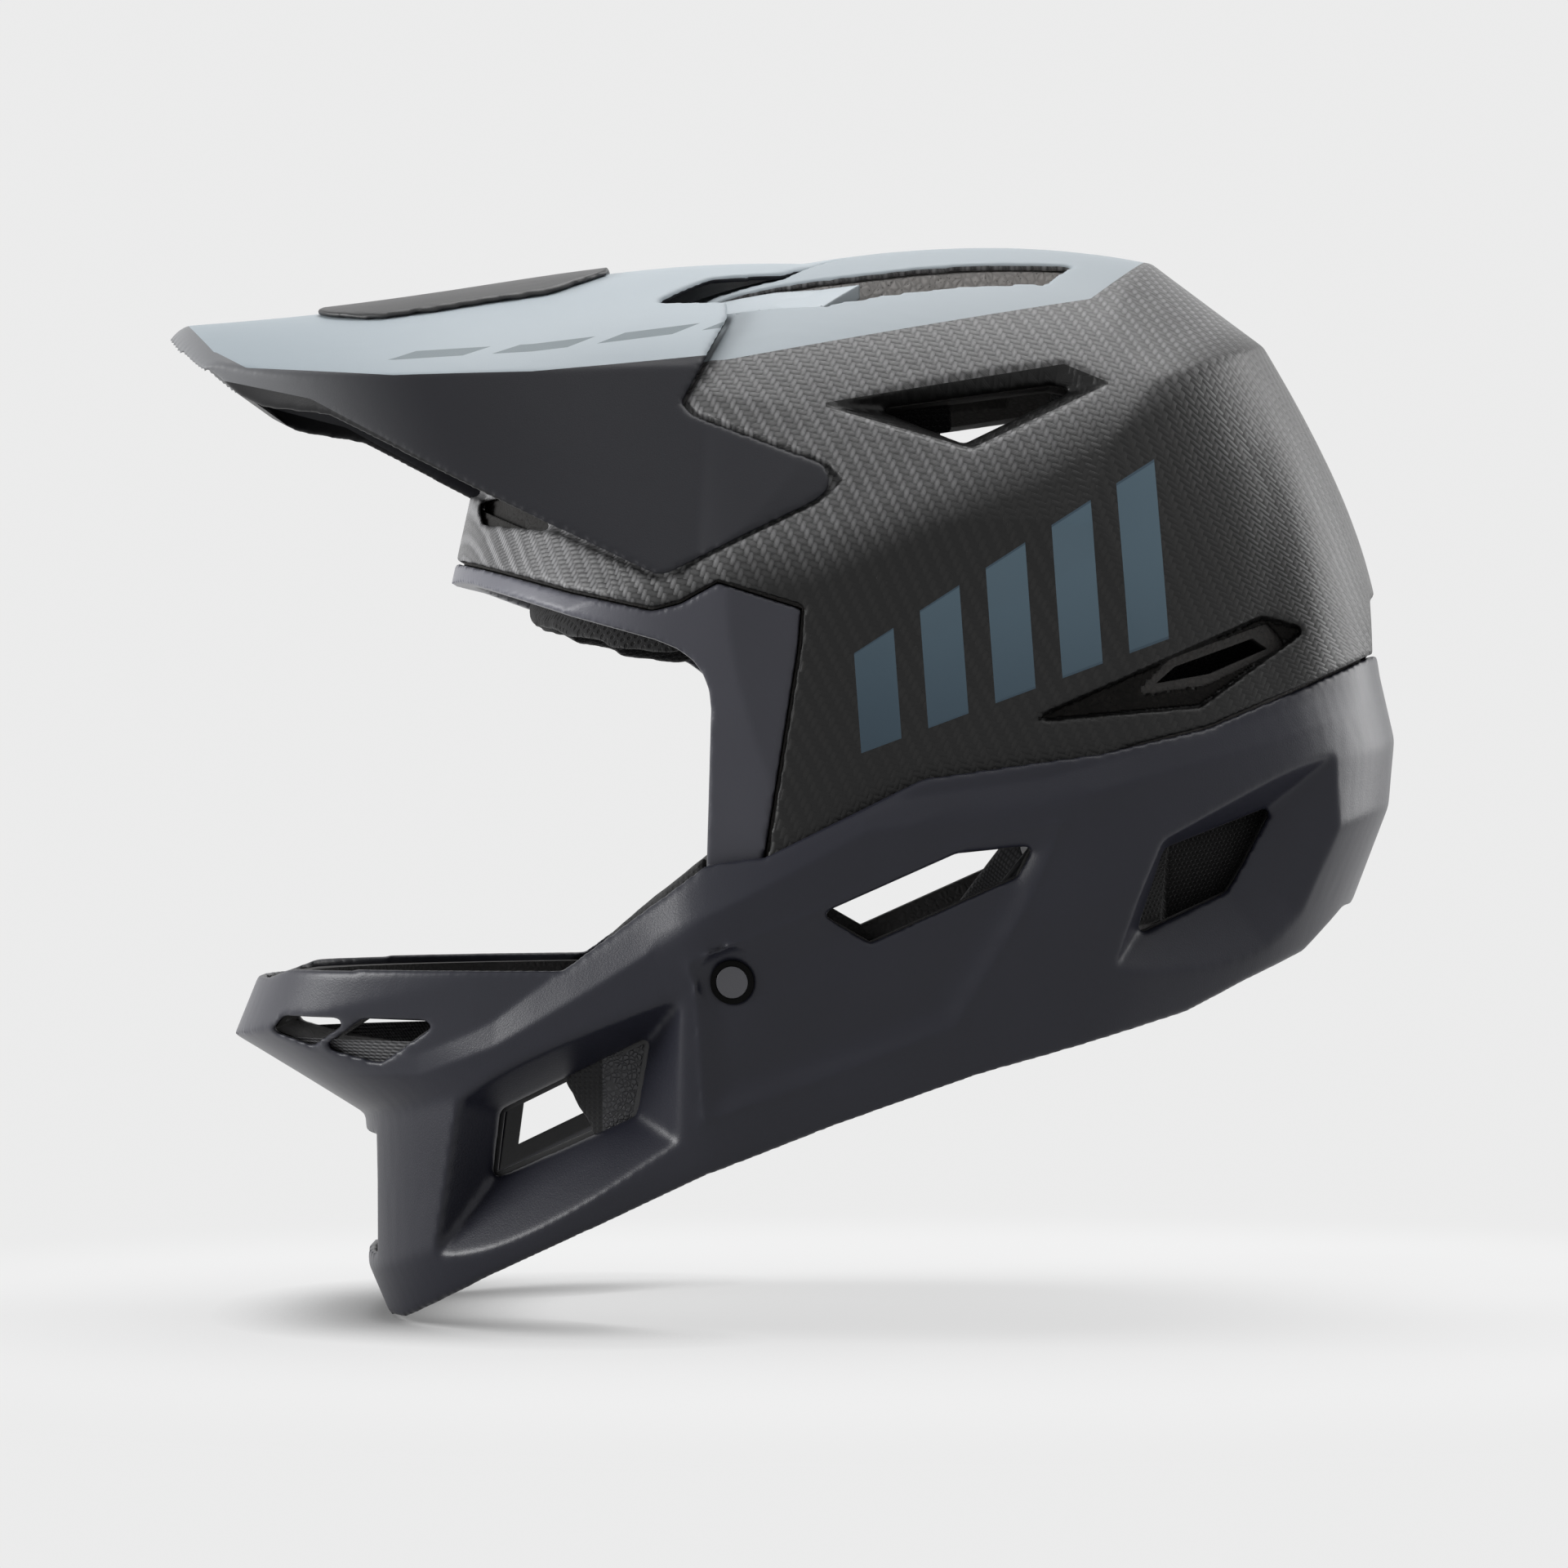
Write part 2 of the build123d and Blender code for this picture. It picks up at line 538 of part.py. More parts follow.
screw_hole = disc(screw_plane, SCREW_SHANK_RADIUS + FIT_GAP, -JAW_WALL * 2, WASHER_WALL)
washer_seat = disc(screw_plane, WASHER_RADIUS + FIT_GAP, -WASHER_SUNK, WASHER_WALL * 2)
jaw_skin = (jaw_carved() & prism(JAW_OUTLINE_SHARES)) - jaw_carved(JAW_WALL)
jaw_holes = [prism(WINDOW_HOLE_SHARES), prism(REAR_VENT_HOLE_SHARES), prism(CHEEK_VENT_SHARES), mouth_box()]
lower_shell = biggest(jaw_skin - jaw_holes - beak_vents - both_sides(screw_hole) - both_sides(washer_seat))

grille_bars_across = MOUTH_WIDTH / GRILLE_COLUMNS
grille_bars_up = (mouth_high - mouth_low) / GRILLE_ROWS
grille_holes = [
    Pos(
        mouth_back - LENGTH / 4,
        (column - (GRILLE_COLUMNS - 1) / 2) * grille_bars_across,
        mouth_low + (row + 0.5) * grille_bars_up,
    ) * Box(LENGTH / 2, grille_bars_across - GRILLE_BAR, grille_bars_up - GRILLE_BAR)
    for column in range(GRILLE_COLUMNS)
    for row in range(GRILLE_ROWS)
]
mouth_grille = biggest((jaw_form(MESH_OUT) & mouth_box(GRILLE_LAP)) - jaw_form(GRILLE_IN) - grille_holes)

beak_mesh = keep_real((jaw_form(MESH_OUT) & prism(BEAK_MESH_SHARES)) - jaw_form(MESH_IN))
window_trim = plate(window_plane, WINDOW_HOLE_SHARES, TRIM_LOW, TRIM_LOW + TRIM_WALL, TRIM_RIM)
window_trim = biggest(window_trim - prism(WINDOW_HOLE_SHARES, -TRIM_LIP))
washer = disc(screw_plane, WASHER_RADIUS, -WASHER_SUNK, WASHER_WALL - WASHER_SUNK)
washer = washer - disc(screw_plane, SCREW_HEAD_RADIUS + SEAT_GAP, -WASHER_SUNK, WASHER_WALL)
screw = disc(screw_plane, SCREW_HEAD_RADIUS, -WASHER_SUNK, SCREW_HEAD - WASHER_SUNK)
screw = screw + disc(screw_plane, SCREW_SHANK_RADIUS, -SCREW_SHANK, -WASHER_SUNK)

# Crown shell, the frame of the eye port and the ramps in the top vents
jaw_room = prism(JAW_OUTLINE_SHARES, FIT_GAP) - jaw_form(JAW_FOAM_OUT)
top_vents = both_sides(plan_prism(TOP_VENT_PLAN_SHARES))
crown_skin = (crown_carved() & prism(CROWN_OUTLINE_SHARES)) - crown_carved(SHELL_WALL)
crown_holes = [prism(SIDE_VENT_HOLE_SHARES), prism(LOW_VENT_HOLE_SHARES), prism(BROW_VENT_SHARES)] + top_vents
bush_hole = prong_rod(BUSH_RADIUS + SEAT_GAP, BUSH_RADIUS, PRONG_IN)
upper_shell = biggest(crown_skin - jaw_room - crown_holes - bush_hole)
frame_block = (crown_form() & prism(FRAME_OUTLINE_SHARES)) - crown_form(FRAME_DEPTH)
eyeport_frame = biggest(frame_block - jaw_room)
ramp_skin = crown_form(RAMP_OUT) - crown_form(FRAME_CLEAR - SEAT_GAP)
ramp_rooms = both_sides(plan_prism(RAMP_PLAN_SHARES))
vent_ramps = Compound(children=[biggest(ramp_skin & room) for room in ramp_rooms])

# Foam liners
crown_block = (crown_carved(CROWN_FOAM_OUT) & prism(CROWN_FOAM_SHARES)) - crown_form(CROWN_FOAM_IN)
frame_seat = prism(FRAME_OUTLINE_SHARES, FIT_GAP) - crown_form(FRAME_CLEAR)
wide_vents = both_sides(plan_prism(TOP_VENT_PLAN_SHARES, SEAM_GAP))
top_channels = [vent - crown_form(FRAME_CLEAR) for vent in wide_vents]
top_slots = both_sides(plan_prism(TOP_SLOT_PLAN_SHARES))
liner_holes = [prism(SIDE_VENT_HOLE_SHARES), prism(LOW_VENT_SLOT_SHARES)] + top_slots
crown_liner = biggest(crown_block - jaw_room - frame_seat - top_channels - liner_holes - bush_hole)

jaw_block = (jaw_carved(JAW_FOAM_OUT) & prism(JAW_FOAM_SHARES, -FIT_GAP)) - jaw_form(JAW_FOAM_IN)
screw_room = disc(screw_plane, SCREW_SHANK_RADIUS + FIT_GAP, -SCREW_SHANK - FIT_GAP, WASHER_WALL)
jaw_block = jaw_block - [prism(CHEEK_VENT_SHARES), prism(REAR_VENT_HOLE_SHARES)] - both_sides(screw_room)
jaw_liner_left, jaw_liner_right = (biggest(jaw_block & half_space(sign, FIT_GAP / 2)) for sign in (-1, 1))
chin_block = (jaw_form(CHIN_FOAM_OUT) & prism(CHIN_FOAM_SHARES)) - jaw_form(CHIN_FOAM_IN)
chin_liner = biggest(chin_block - beak_vents)


# Comfort pads
pad_layer = crown_form(CROWN_PAD_OUT) - crown_form(CROWN_PAD_IN)
brow_pad = biggest(pad_layer & prism(BROW_PAD_SHARES))
rear_pad = biggest(pad_layer & prism(REAR_PAD_SHARES))
crown_limbs = plan_prism(mirrored_outline(CROWN_STRIP_HALF_PLAN_SHARES))
for middle_share in CROWN_BARS_SHARES:
    ends = (middle_share - CROWN_BAR_SHARE / 2, middle_share + CROWN_BAR_SHARE / 2)
    crown_limbs = crown_limbs + plan_prism(mirrored_outline([(end, CROWN_BAR_REACH_SHARE) for end in ends]))
crown_pad = biggest((pad_layer & crown_limbs) - top_slots)
cheek_block = (jaw_form(JAW_PAD_OUT) & prism(CHEEK_PAD_SHARES)) - jaw_form(CHEEK_PAD_IN)
trim_room = plate(window_plane, WINDOW_OUTER_SHARES, -JAW_FOAM, TRIM_LOW + TRIM_WALL + FIT_GAP, TRIM_RIM)
crown_rooms = [prism(shares, FIT_GAP) for shares in (CROWN_FOAM_SHARES, FRAME_OUTLINE_SHARES)]
crown_rooms = [room - crown_form(CROWN_PAD_OUT) for room in crown_rooms]
cheek_block = cheek_block - both_sides(trim_room) - crown_rooms
cheek_middle = surface(jaw_form(JAW_PAD_OUT), side(CHEEK_MIDDLE_SHARES))
cushion = Pos(cheek_middle) * Rot(0, 0, -CHEEK_TURN) * scale(Sphere(1), by=CHEEK_CROWN_RADII)
cheek_pad_left = biggest(cheek_block & cushion)
cheek_pad_right = mirror(cheek_pad_left, about=Plane.XZ)
neck_roll = biggest((jaw_form(JAW_PAD_OUT) & prism(NECK_ROLL_SHARES)) - jaw_form(NECK_PAD_IN))

# Peak with its spine panel, prongs and bushes
peak_skin = (prow() + crown_form()) - (prow(PEAK_WALL) + crown_form(PEAK_WALL))
visor_peak = biggest(peak_skin & peak_region())
visor_spine = prow(-SEAT_GAP - SPINE_RISE) - prow(-SEAT_GAP)
visor_spine = biggest(visor_spine & plan_prism(mirrored_outline(SPINE_HALF_PLAN_SHARES)))
prongs = prong_rod(PRONG_RADIUS, PRONG_OUT, PRONG_IN - FIT_GAP)
stalk_middle = prong_mouth + Vector(STALK_WIDTH / 2 - PRONG_OUT, 0, HEIGHT / 8)
stalk = Pos(stalk_middle) * Box(STALK_WIDTH, STALK_WIDTH, HEIGHT / 4)
stalks = [bar & prow(PEAK_WALL + SEAT_GAP) for bar in both_sides(stalk)]
visor_prongs = Compound(children=[biggest(rod + bar) for rod, bar in zip(prongs, stalks)])
bush_rods = prong_rod(BUSH_RADIUS, BUSH_RADIUS, BUSH_LENGTH)
prong_room = prong_rod(PRONG_RADIUS + FIT_GAP, PRONG_OUT, PRONG_IN + PRONG_OUT)
prong_bushes = Compound(children=[biggest((rod & crown_form(PEAK_STEP)) - prong_room) for rod in bush_rods])

# Chin strap with its ratchet buckle
strap_top, strap_low = side(STRAP_TOP_SHARES), side(STRAP_LOW_SHARES)
strap_down = (strap_low - strap_top).normalized()
strap_drop = (strap_low - strap_top).length
strap_across = Vector(0, 1, 0)
strap_wide = strap_down.cross(strap_across)


def strap_point(across, down):
    return strap_top + strap_down * down + strap_across * across


liner_hits = [
    surface(jaw_form(JAW_FOAM_IN), strap_point(0, down) + strap_wide * wide)
    for down in (-STRAP_END, STRAP_END)
    for wide in (-STRAP_WIDTH / 2, STRAP_WIDTH / 2)
]
strap_reach = min(abs(hit.Y) for hit in liner_hits) - SEAT_GAP - STRAP_WALL / 2
buckle_end = BUCKLE_CENTRE - BUCKLE_LENGTH / 2
tongue_end = buckle_end + TONGUE_LENGTH + BUCKLE_LENGTH / 3


def webbing(sign, end_across, lift):
    """A strap from its anchor down to its end, which lies flat at a height above the buckle's middle."""
    path = [(-STRAP_END, strap_reach), (STRAP_END, strap_reach)]
    path += [(down * strap_drop, across * strap_reach) for across, down in STRAP_PATH_SHARES]
    path += [(strap_drop - lift, abs(end_across) + STRAP_OVERLAP), (strap_drop - lift, abs(end_across))]
    points = [Vector(across, down, 0) for down, across in path]
    rails = []
    for half in (-STRAP_WALL / 2, STRAP_WALL / 2):
        rail = []
        for i, point in enumerate(points):
            heading = (points[min(i + 1, len(points) - 1)] - points[max(i - 1, 0)]).normalized()
            moved = point + Vector(-heading.Y, heading.X, 0) * half
            rail.append(strap_point(sign * moved.X, moved.Y) - strap_wide * STRAP_WIDTH / 2)
        rails.append(rail)
    outer, inner = (Spline(*rail) for rail in rails)
    caps = [Line(outer @ 0, inner @ 0), Line(outer @ 1, inner @ 1)]
    return extrude(Face(Wire([outer, inner] + caps)), amount=STRAP_WIDTH, dir=strap_wide)


strap_lift_left = BUCKLE_DEPTH / 2 + STRAP_WALL / 2 + SEAT_GAP
strap_lift_right = TONGUE_WALL / 2 + STRAP_WALL / 2 + SEAT_GAP
anchor_plane = Plane(origin=strap_point(-strap_reach, 0), x_dir=strap_wide, z_dir=strap_across)
anchor_face = STRAP_WALL / 2 + SEAT_GAP
anchor_hole = disc(anchor_plane, ANCHOR_SHANK_RADIUS + SEAT_GAP, -STRAP_WALL - ANCHOR_SHANK, STRAP_WALL)
anchor = disc(anchor_plane, ANCHOR_HEAD_RADIUS, anchor_face, anchor_face + ANCHOR_HEAD)
anchor = anchor + disc(anchor_plane, ANCHOR_SHANK_RADIUS, anchor_face - ANCHOR_SHANK, anchor_face)
strap_left = webbing(-1, buckle_end + STRAP_OVERLAP, strap_lift_left) - anchor_hole
strap_right = webbing(1, tongue_end - STRAP_OVERLAP, strap_lift_right) - both_sides(anchor_hole)[1]
jaw_liner_left = jaw_liner_left - anchor_hole
jaw_liner_right = jaw_liner_right - both_sides(anchor_hole)[1]

buckle_plane = Plane(origin=strap_point(BUCKLE_CENTRE, strap_drop), x_dir=strap_across, z_dir=strap_down)
tongue_slot = TONGUE_WALL + TOOTH_RISE + 2 * FIT_GAP
slot_middle = TOOTH_RISE / 2
hinge_along = EAR_LENGTH / 2 - BUCKLE_LENGTH / 2
hinge_up = BUCKLE_DEPTH / 2 + EAR_RISE / 2
pawl_along = hinge_along + LEVER_LENGTH / 2
hinge = buckle_plane * Pos(hinge_along, 0, hinge_up) * Rot(90, 0, 0)

housing = buckle_plane * Box(BUCKLE_LENGTH, BUCKLE_WIDTH, BUCKLE_DEPTH)
ear_across = (BUCKLE_WIDTH - BUCKLE_WALL) / 2
for sign in (-1, 1):
    ear = Pos(hinge_along, sign * ear_across, hinge_up) * Box(EAR_LENGTH, BUCKLE_WALL, EAR_RISE)
    housing = housing + buckle_plane * ear
slot = Pos(0, 0, slot_middle) * Box(2 * BUCKLE_LENGTH, TONGUE_WIDTH + 2 * FIT_GAP, tongue_slot)
pawl_room = Box(4 * PAWL_LENGTH, PAWL_WIDTH + 2 * SEAM_GAP, BUCKLE_DEPTH)
pawl_window = Pos(pawl_along, 0, BUCKLE_DEPTH / 2) * pawl_room
buckle_housing = housing - buckle_plane * slot - buckle_plane * pawl_window
buckle_housing = buckle_housing - hinge * Cylinder(PIN_RADIUS + PIN_CLEAR / 2, 2 * BUCKLE_WIDTH)
buckle_pin = hinge * Cylinder(PIN_RADIUS, BUCKLE_WIDTH)

lever_plate = Pos(hinge_along + LEVER_LENGTH / 2, 0, hinge_up) * Box(LEVER_LENGTH, LEVER_WIDTH, LEVER_WALL)
knuckle = hinge * Cylinder(EAR_RISE / 2 - FIT_GAP / 2, BUCKLE_WIDTH - 2 * BUCKLE_WALL - 2 * FIT_GAP)
tooth_top = TONGUE_WALL / 2 + TOOTH_RISE
tooth_pitch = PAWL_LENGTH + PAWL_OVER
pawl_foot = TONGUE_WALL / 2 + PAWL_OVER


def wedge(along, base, tip, width, length):
    """A ridge across the buckle, from its base level to its tip level."""
    corners = [(along - length / 2, base), (along + length / 2, base), (along, tip)]
    face = Plane.XZ * flat([Vector(a, b, 0) for a, b in corners])
    return buckle_plane * extrude(Pos(0, width / 2, 0) * face, amount=width, dir=(0, -1, 0))


pawl_block_low = tooth_top + PAWL_OVER
pawl_block = Box(PAWL_LENGTH, PAWL_WIDTH, hinge_up - pawl_block_low)
pawl_block = buckle_plane * Pos(pawl_along, 0, (hinge_up + pawl_block_low) / 2) * pawl_block
pawl_tip = wedge(pawl_along, pawl_block_low, pawl_foot, PAWL_WIDTH, PAWL_LENGTH)
buckle_lever = buckle_plane * lever_plate + knuckle + pawl_block + pawl_tip
buckle_lever = buckle_lever - hinge * Cylinder(PIN_RADIUS + PIN_CLEAR, 2 * BUCKLE_WIDTH)

tongue_middle = tongue_end - TONGUE_LENGTH / 2 - BUCKLE_CENTRE
buckle_tongue = buckle_plane * Pos(tongue_middle, 0, 0) * Box(TONGUE_LENGTH, TONGUE_WIDTH, TONGUE_WALL)
for number in range(TOOTH_COUNT):
    tooth_along = pawl_along + (number - 0.5) * tooth_pitch
    buckle_tongue = buckle_tongue + wedge(tooth_along, TONGUE_WALL / 2, tooth_top, PAWL_WIDTH, PAWL_LENGTH)

# Write one file for each piece
pieces = {
    "upper_shell": upper_shell,
    "lower_shell": lower_shell,
    "eyeport_frame": eyeport_frame,
    "vent_ramps": vent_ramps,
    "crown_liner": crown_liner,
    "jaw_liner_left": jaw_liner_left,
    "jaw_liner_right": jaw_liner_right,
    "chin_liner": chin_liner,
    "mouth_grille": mouth_grille,
    "beak_mesh": beak_mesh,
    "window_trims": Compound(children=both_sides(window_trim)),
    "cheek_screws": Compound(children=both_sides(screw)),
    "cheek_washers": Compound(children=both_sides(washer)),
    "brow_pad": brow_pad,
    "crown_pad": crown_pad,
    "rear_pad": rear_pad,
    "cheek_pad_left": cheek_pad_left,
    "cheek_pad_right": cheek_pad_right,
    "neck_roll": neck_roll,
    "visor_peak": visor_peak,
    "visor_spine": visor_spine,
    "visor_prongs": visor_prongs,
    "prong_bushes": prong_bushes,
    "strap_left": strap_left,
    "strap_right": strap_right,
    "strap_anchors": Compound(children=both_sides(anchor)),
    "buckle_housing": buckle_housing,
    "buckle_pin": buckle_pin,
    "buckle_lever": buckle_lever,
    "buckle_tongue": buckle_tongue,
}
os.makedirs("parts", exist_ok=True)
for name, piece in pieces.items():
    export_step(piece, f"parts/{name}.step")
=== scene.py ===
import math

import bmesh
import bpy
import numpy as np
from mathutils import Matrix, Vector
from mathutils.bvhtree import BVHTree


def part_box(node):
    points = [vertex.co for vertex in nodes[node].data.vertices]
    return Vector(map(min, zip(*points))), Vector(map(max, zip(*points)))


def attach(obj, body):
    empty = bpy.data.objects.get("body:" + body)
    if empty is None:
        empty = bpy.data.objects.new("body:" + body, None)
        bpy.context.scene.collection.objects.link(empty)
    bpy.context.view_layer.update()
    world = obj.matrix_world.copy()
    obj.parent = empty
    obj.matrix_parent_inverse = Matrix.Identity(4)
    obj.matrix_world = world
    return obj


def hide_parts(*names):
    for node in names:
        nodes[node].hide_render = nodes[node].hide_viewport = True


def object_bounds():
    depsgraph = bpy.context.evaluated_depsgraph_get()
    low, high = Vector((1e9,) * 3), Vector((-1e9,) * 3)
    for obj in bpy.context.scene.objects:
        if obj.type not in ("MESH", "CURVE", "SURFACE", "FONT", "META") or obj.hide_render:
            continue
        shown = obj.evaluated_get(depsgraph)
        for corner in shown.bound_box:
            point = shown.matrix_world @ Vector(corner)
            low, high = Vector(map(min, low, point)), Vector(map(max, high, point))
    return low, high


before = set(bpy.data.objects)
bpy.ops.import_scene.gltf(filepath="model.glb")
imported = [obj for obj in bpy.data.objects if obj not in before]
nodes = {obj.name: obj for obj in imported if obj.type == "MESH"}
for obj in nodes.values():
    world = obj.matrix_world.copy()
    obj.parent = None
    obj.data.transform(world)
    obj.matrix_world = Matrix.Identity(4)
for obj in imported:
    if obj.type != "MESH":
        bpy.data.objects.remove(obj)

cad_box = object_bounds()
scene = bpy.context.scene

# The frame's sizes. Points of the side view are given as shares of the length and of the height.
LENGTH, HEIGHT, ORIGIN = 0.366, 0.320, (0.616, 0.545)


def place_x(share):
    return (share - ORIGIN[0]) * LENGTH


def place_z(share):
    return (share - ORIGIN[1]) * HEIGHT


# The same places in millimetres, for the paints
def mm_x(share):
    return place_x(share) * 1000


def mm_z(share):
    return place_z(share) * 1000


def linked(name, data):
    """A new object in the scene."""
    obj = bpy.data.objects.new(name, data)
    scene.collection.objects.link(obj)
    return obj


# Camera at the photograph's distance and height
DISTANCE, VIEW_WIDTH, SENSOR, AIM = 1.8, 0.4702, 36.0, (0.5027, 0.4992)
camera_data = bpy.data.cameras.new("camera")
camera_data.sensor_width = SENSOR
camera_data.sensor_height = SENSOR
camera_data.lens = SENSOR * DISTANCE / VIEW_WIDTH
camera = linked("camera", camera_data)
camera.location = (place_x(AIM[0]), -DISTANCE, place_z(AIM[1]))
camera.rotation_euler = (math.pi / 2, 0, 0)
scene.camera = camera
scene.view_settings.view_transform = "Standard"


class Field:
    """A value in a node tree, with arithmetic through Math nodes. A comparison gives 1 or 0."""

    def __init__(self, tree, socket):
        self.tree, self.socket = tree, socket

    def math(self, operation, *others):
        node = self.tree.nodes.new("ShaderNodeMath")
        node.operation = operation
        for socket, value in zip(node.inputs, (self,) + others):
            if isinstance(value, Field):
                self.tree.links.new(value.socket, socket)
            else:
                socket.default_value = value
        return Field(self.tree, node.outputs[0])

    def __add__(self, other):
        return self.math("ADD", other)

    __radd__ = __add__

    def __mul__(self, other):
        return self.math("MULTIPLY", other)

    __rmul__ = __mul__

    def __sub__(self, other):
        return self.math("SUBTRACT", other)

    def __rsub__(self, other):
        return self * -1 + other

    def __truediv__(self, other):
        return self.math("DIVIDE", other)

    def __gt__(self, other):
        return self.math("GREATER_THAN", other)

    def __lt__(self, other):
        return self.math("LESS_THAN", other)

    def floor(self):
        return self.math("FLOOR")

    def fraction(self):
        return self - self.floor()

    def modulo(self, other):
        return self.math("FLOORED_MODULO", other)

    def abs(self):
        return self.math("ABSOLUTE")

    def sine(self):
        return self.math("SINE")

    def most(self, other):
        return self.math("MAXIMUM", other)

    def power(self, other):
        return self.math("POWER", other)

    def ramp(self, low, high, start=0.0, end=1.0):
        """The value mapped smoothly from a range to another, and held at its ends."""
        node = self.tree.nodes.new("ShaderNodeMapRange")
        node.interpolation_type = "SMOOTHSTEP"
        self.tree.links.new(self.socket, node.inputs["Value"])
        for name, value in (("From Min", low), ("From Max", high), ("To Min", start), ("To Max", end)):
            node.inputs[name].default_value = value
        return Field(self.tree, node.outputs["Result"])

    def choose(self, low, high):
        """Low where this is 0 and high where it is 1. Both are values or both are colours."""
        node = self.tree.nodes.new("ShaderNodeMix")
        colour = isinstance(low, (tuple, Colour)) or isinstance(high, (tuple, Colour))
        node.data_type = "RGBA" if colour else "FLOAT"
        ends = (node.inputs[6], node.inputs[7]) if colour else (node.inputs[2], node.inputs[3])
        self.tree.links.new(self.socket, node.inputs[0])
        for socket, value in zip(ends, (low, high)):
            if isinstance(value, Field):
                self.tree.links.new(value.socket, socket)
            else:
                socket.default_value = value + (1.0,) if colour else value
        return Colour(self.tree, node.outputs[2]) if colour else Field(self.tree, node.outputs[0])


class Colour(Field):
    """A colour in a node tree."""


class Paint:
    """A material with its Principled shader, and the fields of its patterns, in millimetres."""

    def __init__(self, name, **values):
        self.material = bpy.data.materials.new(name)
        self.material.use_nodes = True
        self.tree = self.material.node_tree
        self.shader = self.tree.nodes["Principled BSDF"]
        for key, value in values.items():
            self.shader.inputs[key.replace("_", " ").title().replace("Ior", "IOR")].default_value = value
        coordinates = self.tree.nodes.new("ShaderNodeTexCoord")
        self.position = coordinates.outputs["Object"]
        self.x, self.y, self.z = (field * 1000.0 for field in self.split(self.position))
        self.nx, self.ny, self.nz = self.split(coordinates.outputs["Normal"])

    def split(self, socket):
        node = self.tree.nodes.new("ShaderNodeSeparateXYZ")
        self.tree.links.new(socket, node.inputs[0])
        return [Field(self.tree, output) for output in node.outputs]

    def noise(self, size, detail=2.0, rough=0.5, stretch=None):
        """Smooth noise with features about size millimetres across, from 0 to 1."""
        node = self.tree.nodes.new("ShaderNodeTexNoise")
        node.inputs["Scale"].default_value = 1000.0 / size
        node.inputs["Detail"].default_value = detail
        node.inputs["Roughness"].default_value = rough
        source = self.position
        if stretch:
            scale = self.tree.nodes.new("ShaderNodeVectorMath")
            scale.operation = "MULTIPLY"
            scale.inputs[1].default_value = stretch
            self.tree.links.new(source, scale.inputs[0])
            source = scale.outputs[0]
        self.tree.links.new(source, node.inputs["Vector"])
        return Field(self.tree, node.outputs["Fac"])

    def voronoi(self, size, feature):
        node = self.tree.nodes.new("ShaderNodeTexVoronoi")
        node.feature = feature
        node.inputs["Scale"].default_value = 1000.0 / size
        self.tree.links.new(self.position, node.inputs["Vector"])
        return node

    def cells(self, size, feature="F1"):
        """Cell noise with cells about size millimetres across."""
        return Field(self.tree, self.voronoi(size, feature).outputs["Distance"])

    def cell_shade(self, size):
        """A shade of its own for each of the cells, from 0 to 1."""
        return self.split(self.voronoi(size, "F1").outputs["Color"])[0]

    def line(self, points):
        """The height in millimetres of a line through points of the side view, at this place along X."""
        points = [(mm_x(u), mm_z(v)) for u, v in points]
        (left, _), (right, _) = points[0], points[-1]
        low, high = min(z for _, z in points), max(z for _, z in points)
        node = self.tree.nodes.new("ShaderNodeFloatCurve")
        curve = node.mapping.curves[0]
        spots = [((x - left) / (right - left), (z - low) / (high - low)) for x, z in points]
        curve.points[0].location, curve.points[1].location = spots[0], spots[-1]
        for spot in spots[1:-1]:
            curve.points.new(*spot)
        for point in curve.points:
            point.handle_type = "VECTOR"
        node.mapping.update()
        share = (self.x - left) / (right - left)
        self.tree.links.new(share.socket, node.inputs["Value"])
        return Field(self.tree, node.outputs[0]) * (high - low) + low

    def between(self, low_points, high_points):
        """1 between two lines of the side view, over the length that both of them cover."""
        left = max(low_points[0][0], high_points[0][0])
        right = min(low_points[-1][0], high_points[-1][0])
        inside = (self.x > mm_x(left)) * (self.x < mm_x(right))
        return inside * ((self.z - self.line(low_points)) > 0.0) * ((self.line(high_points) - self.z) > 0.0)

    def set(self, name, field):
        self.tree.links.new(field.socket, self.shader.inputs[name])

    def bump(self, height, depth, radius=0.0, strength=1.0):
        """Bump of a height field, depth millimetres deep, over edges rounded to a radius in millimetres."""
        node = self.tree.nodes.new("ShaderNodeBump")
        node.inputs["Distance"].default_value = depth / 1000
        node.inputs["Strength"].default_value = strength
        self.tree.links.new(height.socket, node.inputs["Height"])
        if radius:
            bevel = self.tree.nodes.new("ShaderNodeBevel")
            bevel.samples = 6
            bevel.inputs["Radius"].default_value = radius / 1000
            self.tree.links.new(bevel.outputs[0], node.inputs["Normal"])
        self.tree.links.new(node.outputs[0], self.shader.inputs["Normal"])


def turned(a, b, degrees):
    """Two coordinates, along axes turned by an angle."""
    turn = math.radians(degrees)
    return a * math.cos(turn) + b * math.sin(turn), b * math.cos(turn) - a * math.sin(turn)


def scaled(colour, factor):
    return tuple(c * factor for c in colour)


# Lines of the side view: the lower edge of the leather on the cheek pads
PAD_HEM = [(0.30, 0.290), (0.361, 0.300), (0.470, 0.400), (0.70, 0.42)]
# The edges of the low vents and of the side vents
LOW_VENT_UNDER = [(0.686, 0.553), (0.825, 0.567), (0.913, 0.638)]
LOW_VENT_OVER = [(0.686, 0.553), (0.875, 0.649), (0.913, 0.638)]
SIDE_VENT_UNDER = [(0.535, 0.834), (0.648, 0.796), (0.755, 0.855)]
SIDE_VENT_OVER = [(0.535, 0.838), (0.721, 0.874), (0.755, 0.857)]
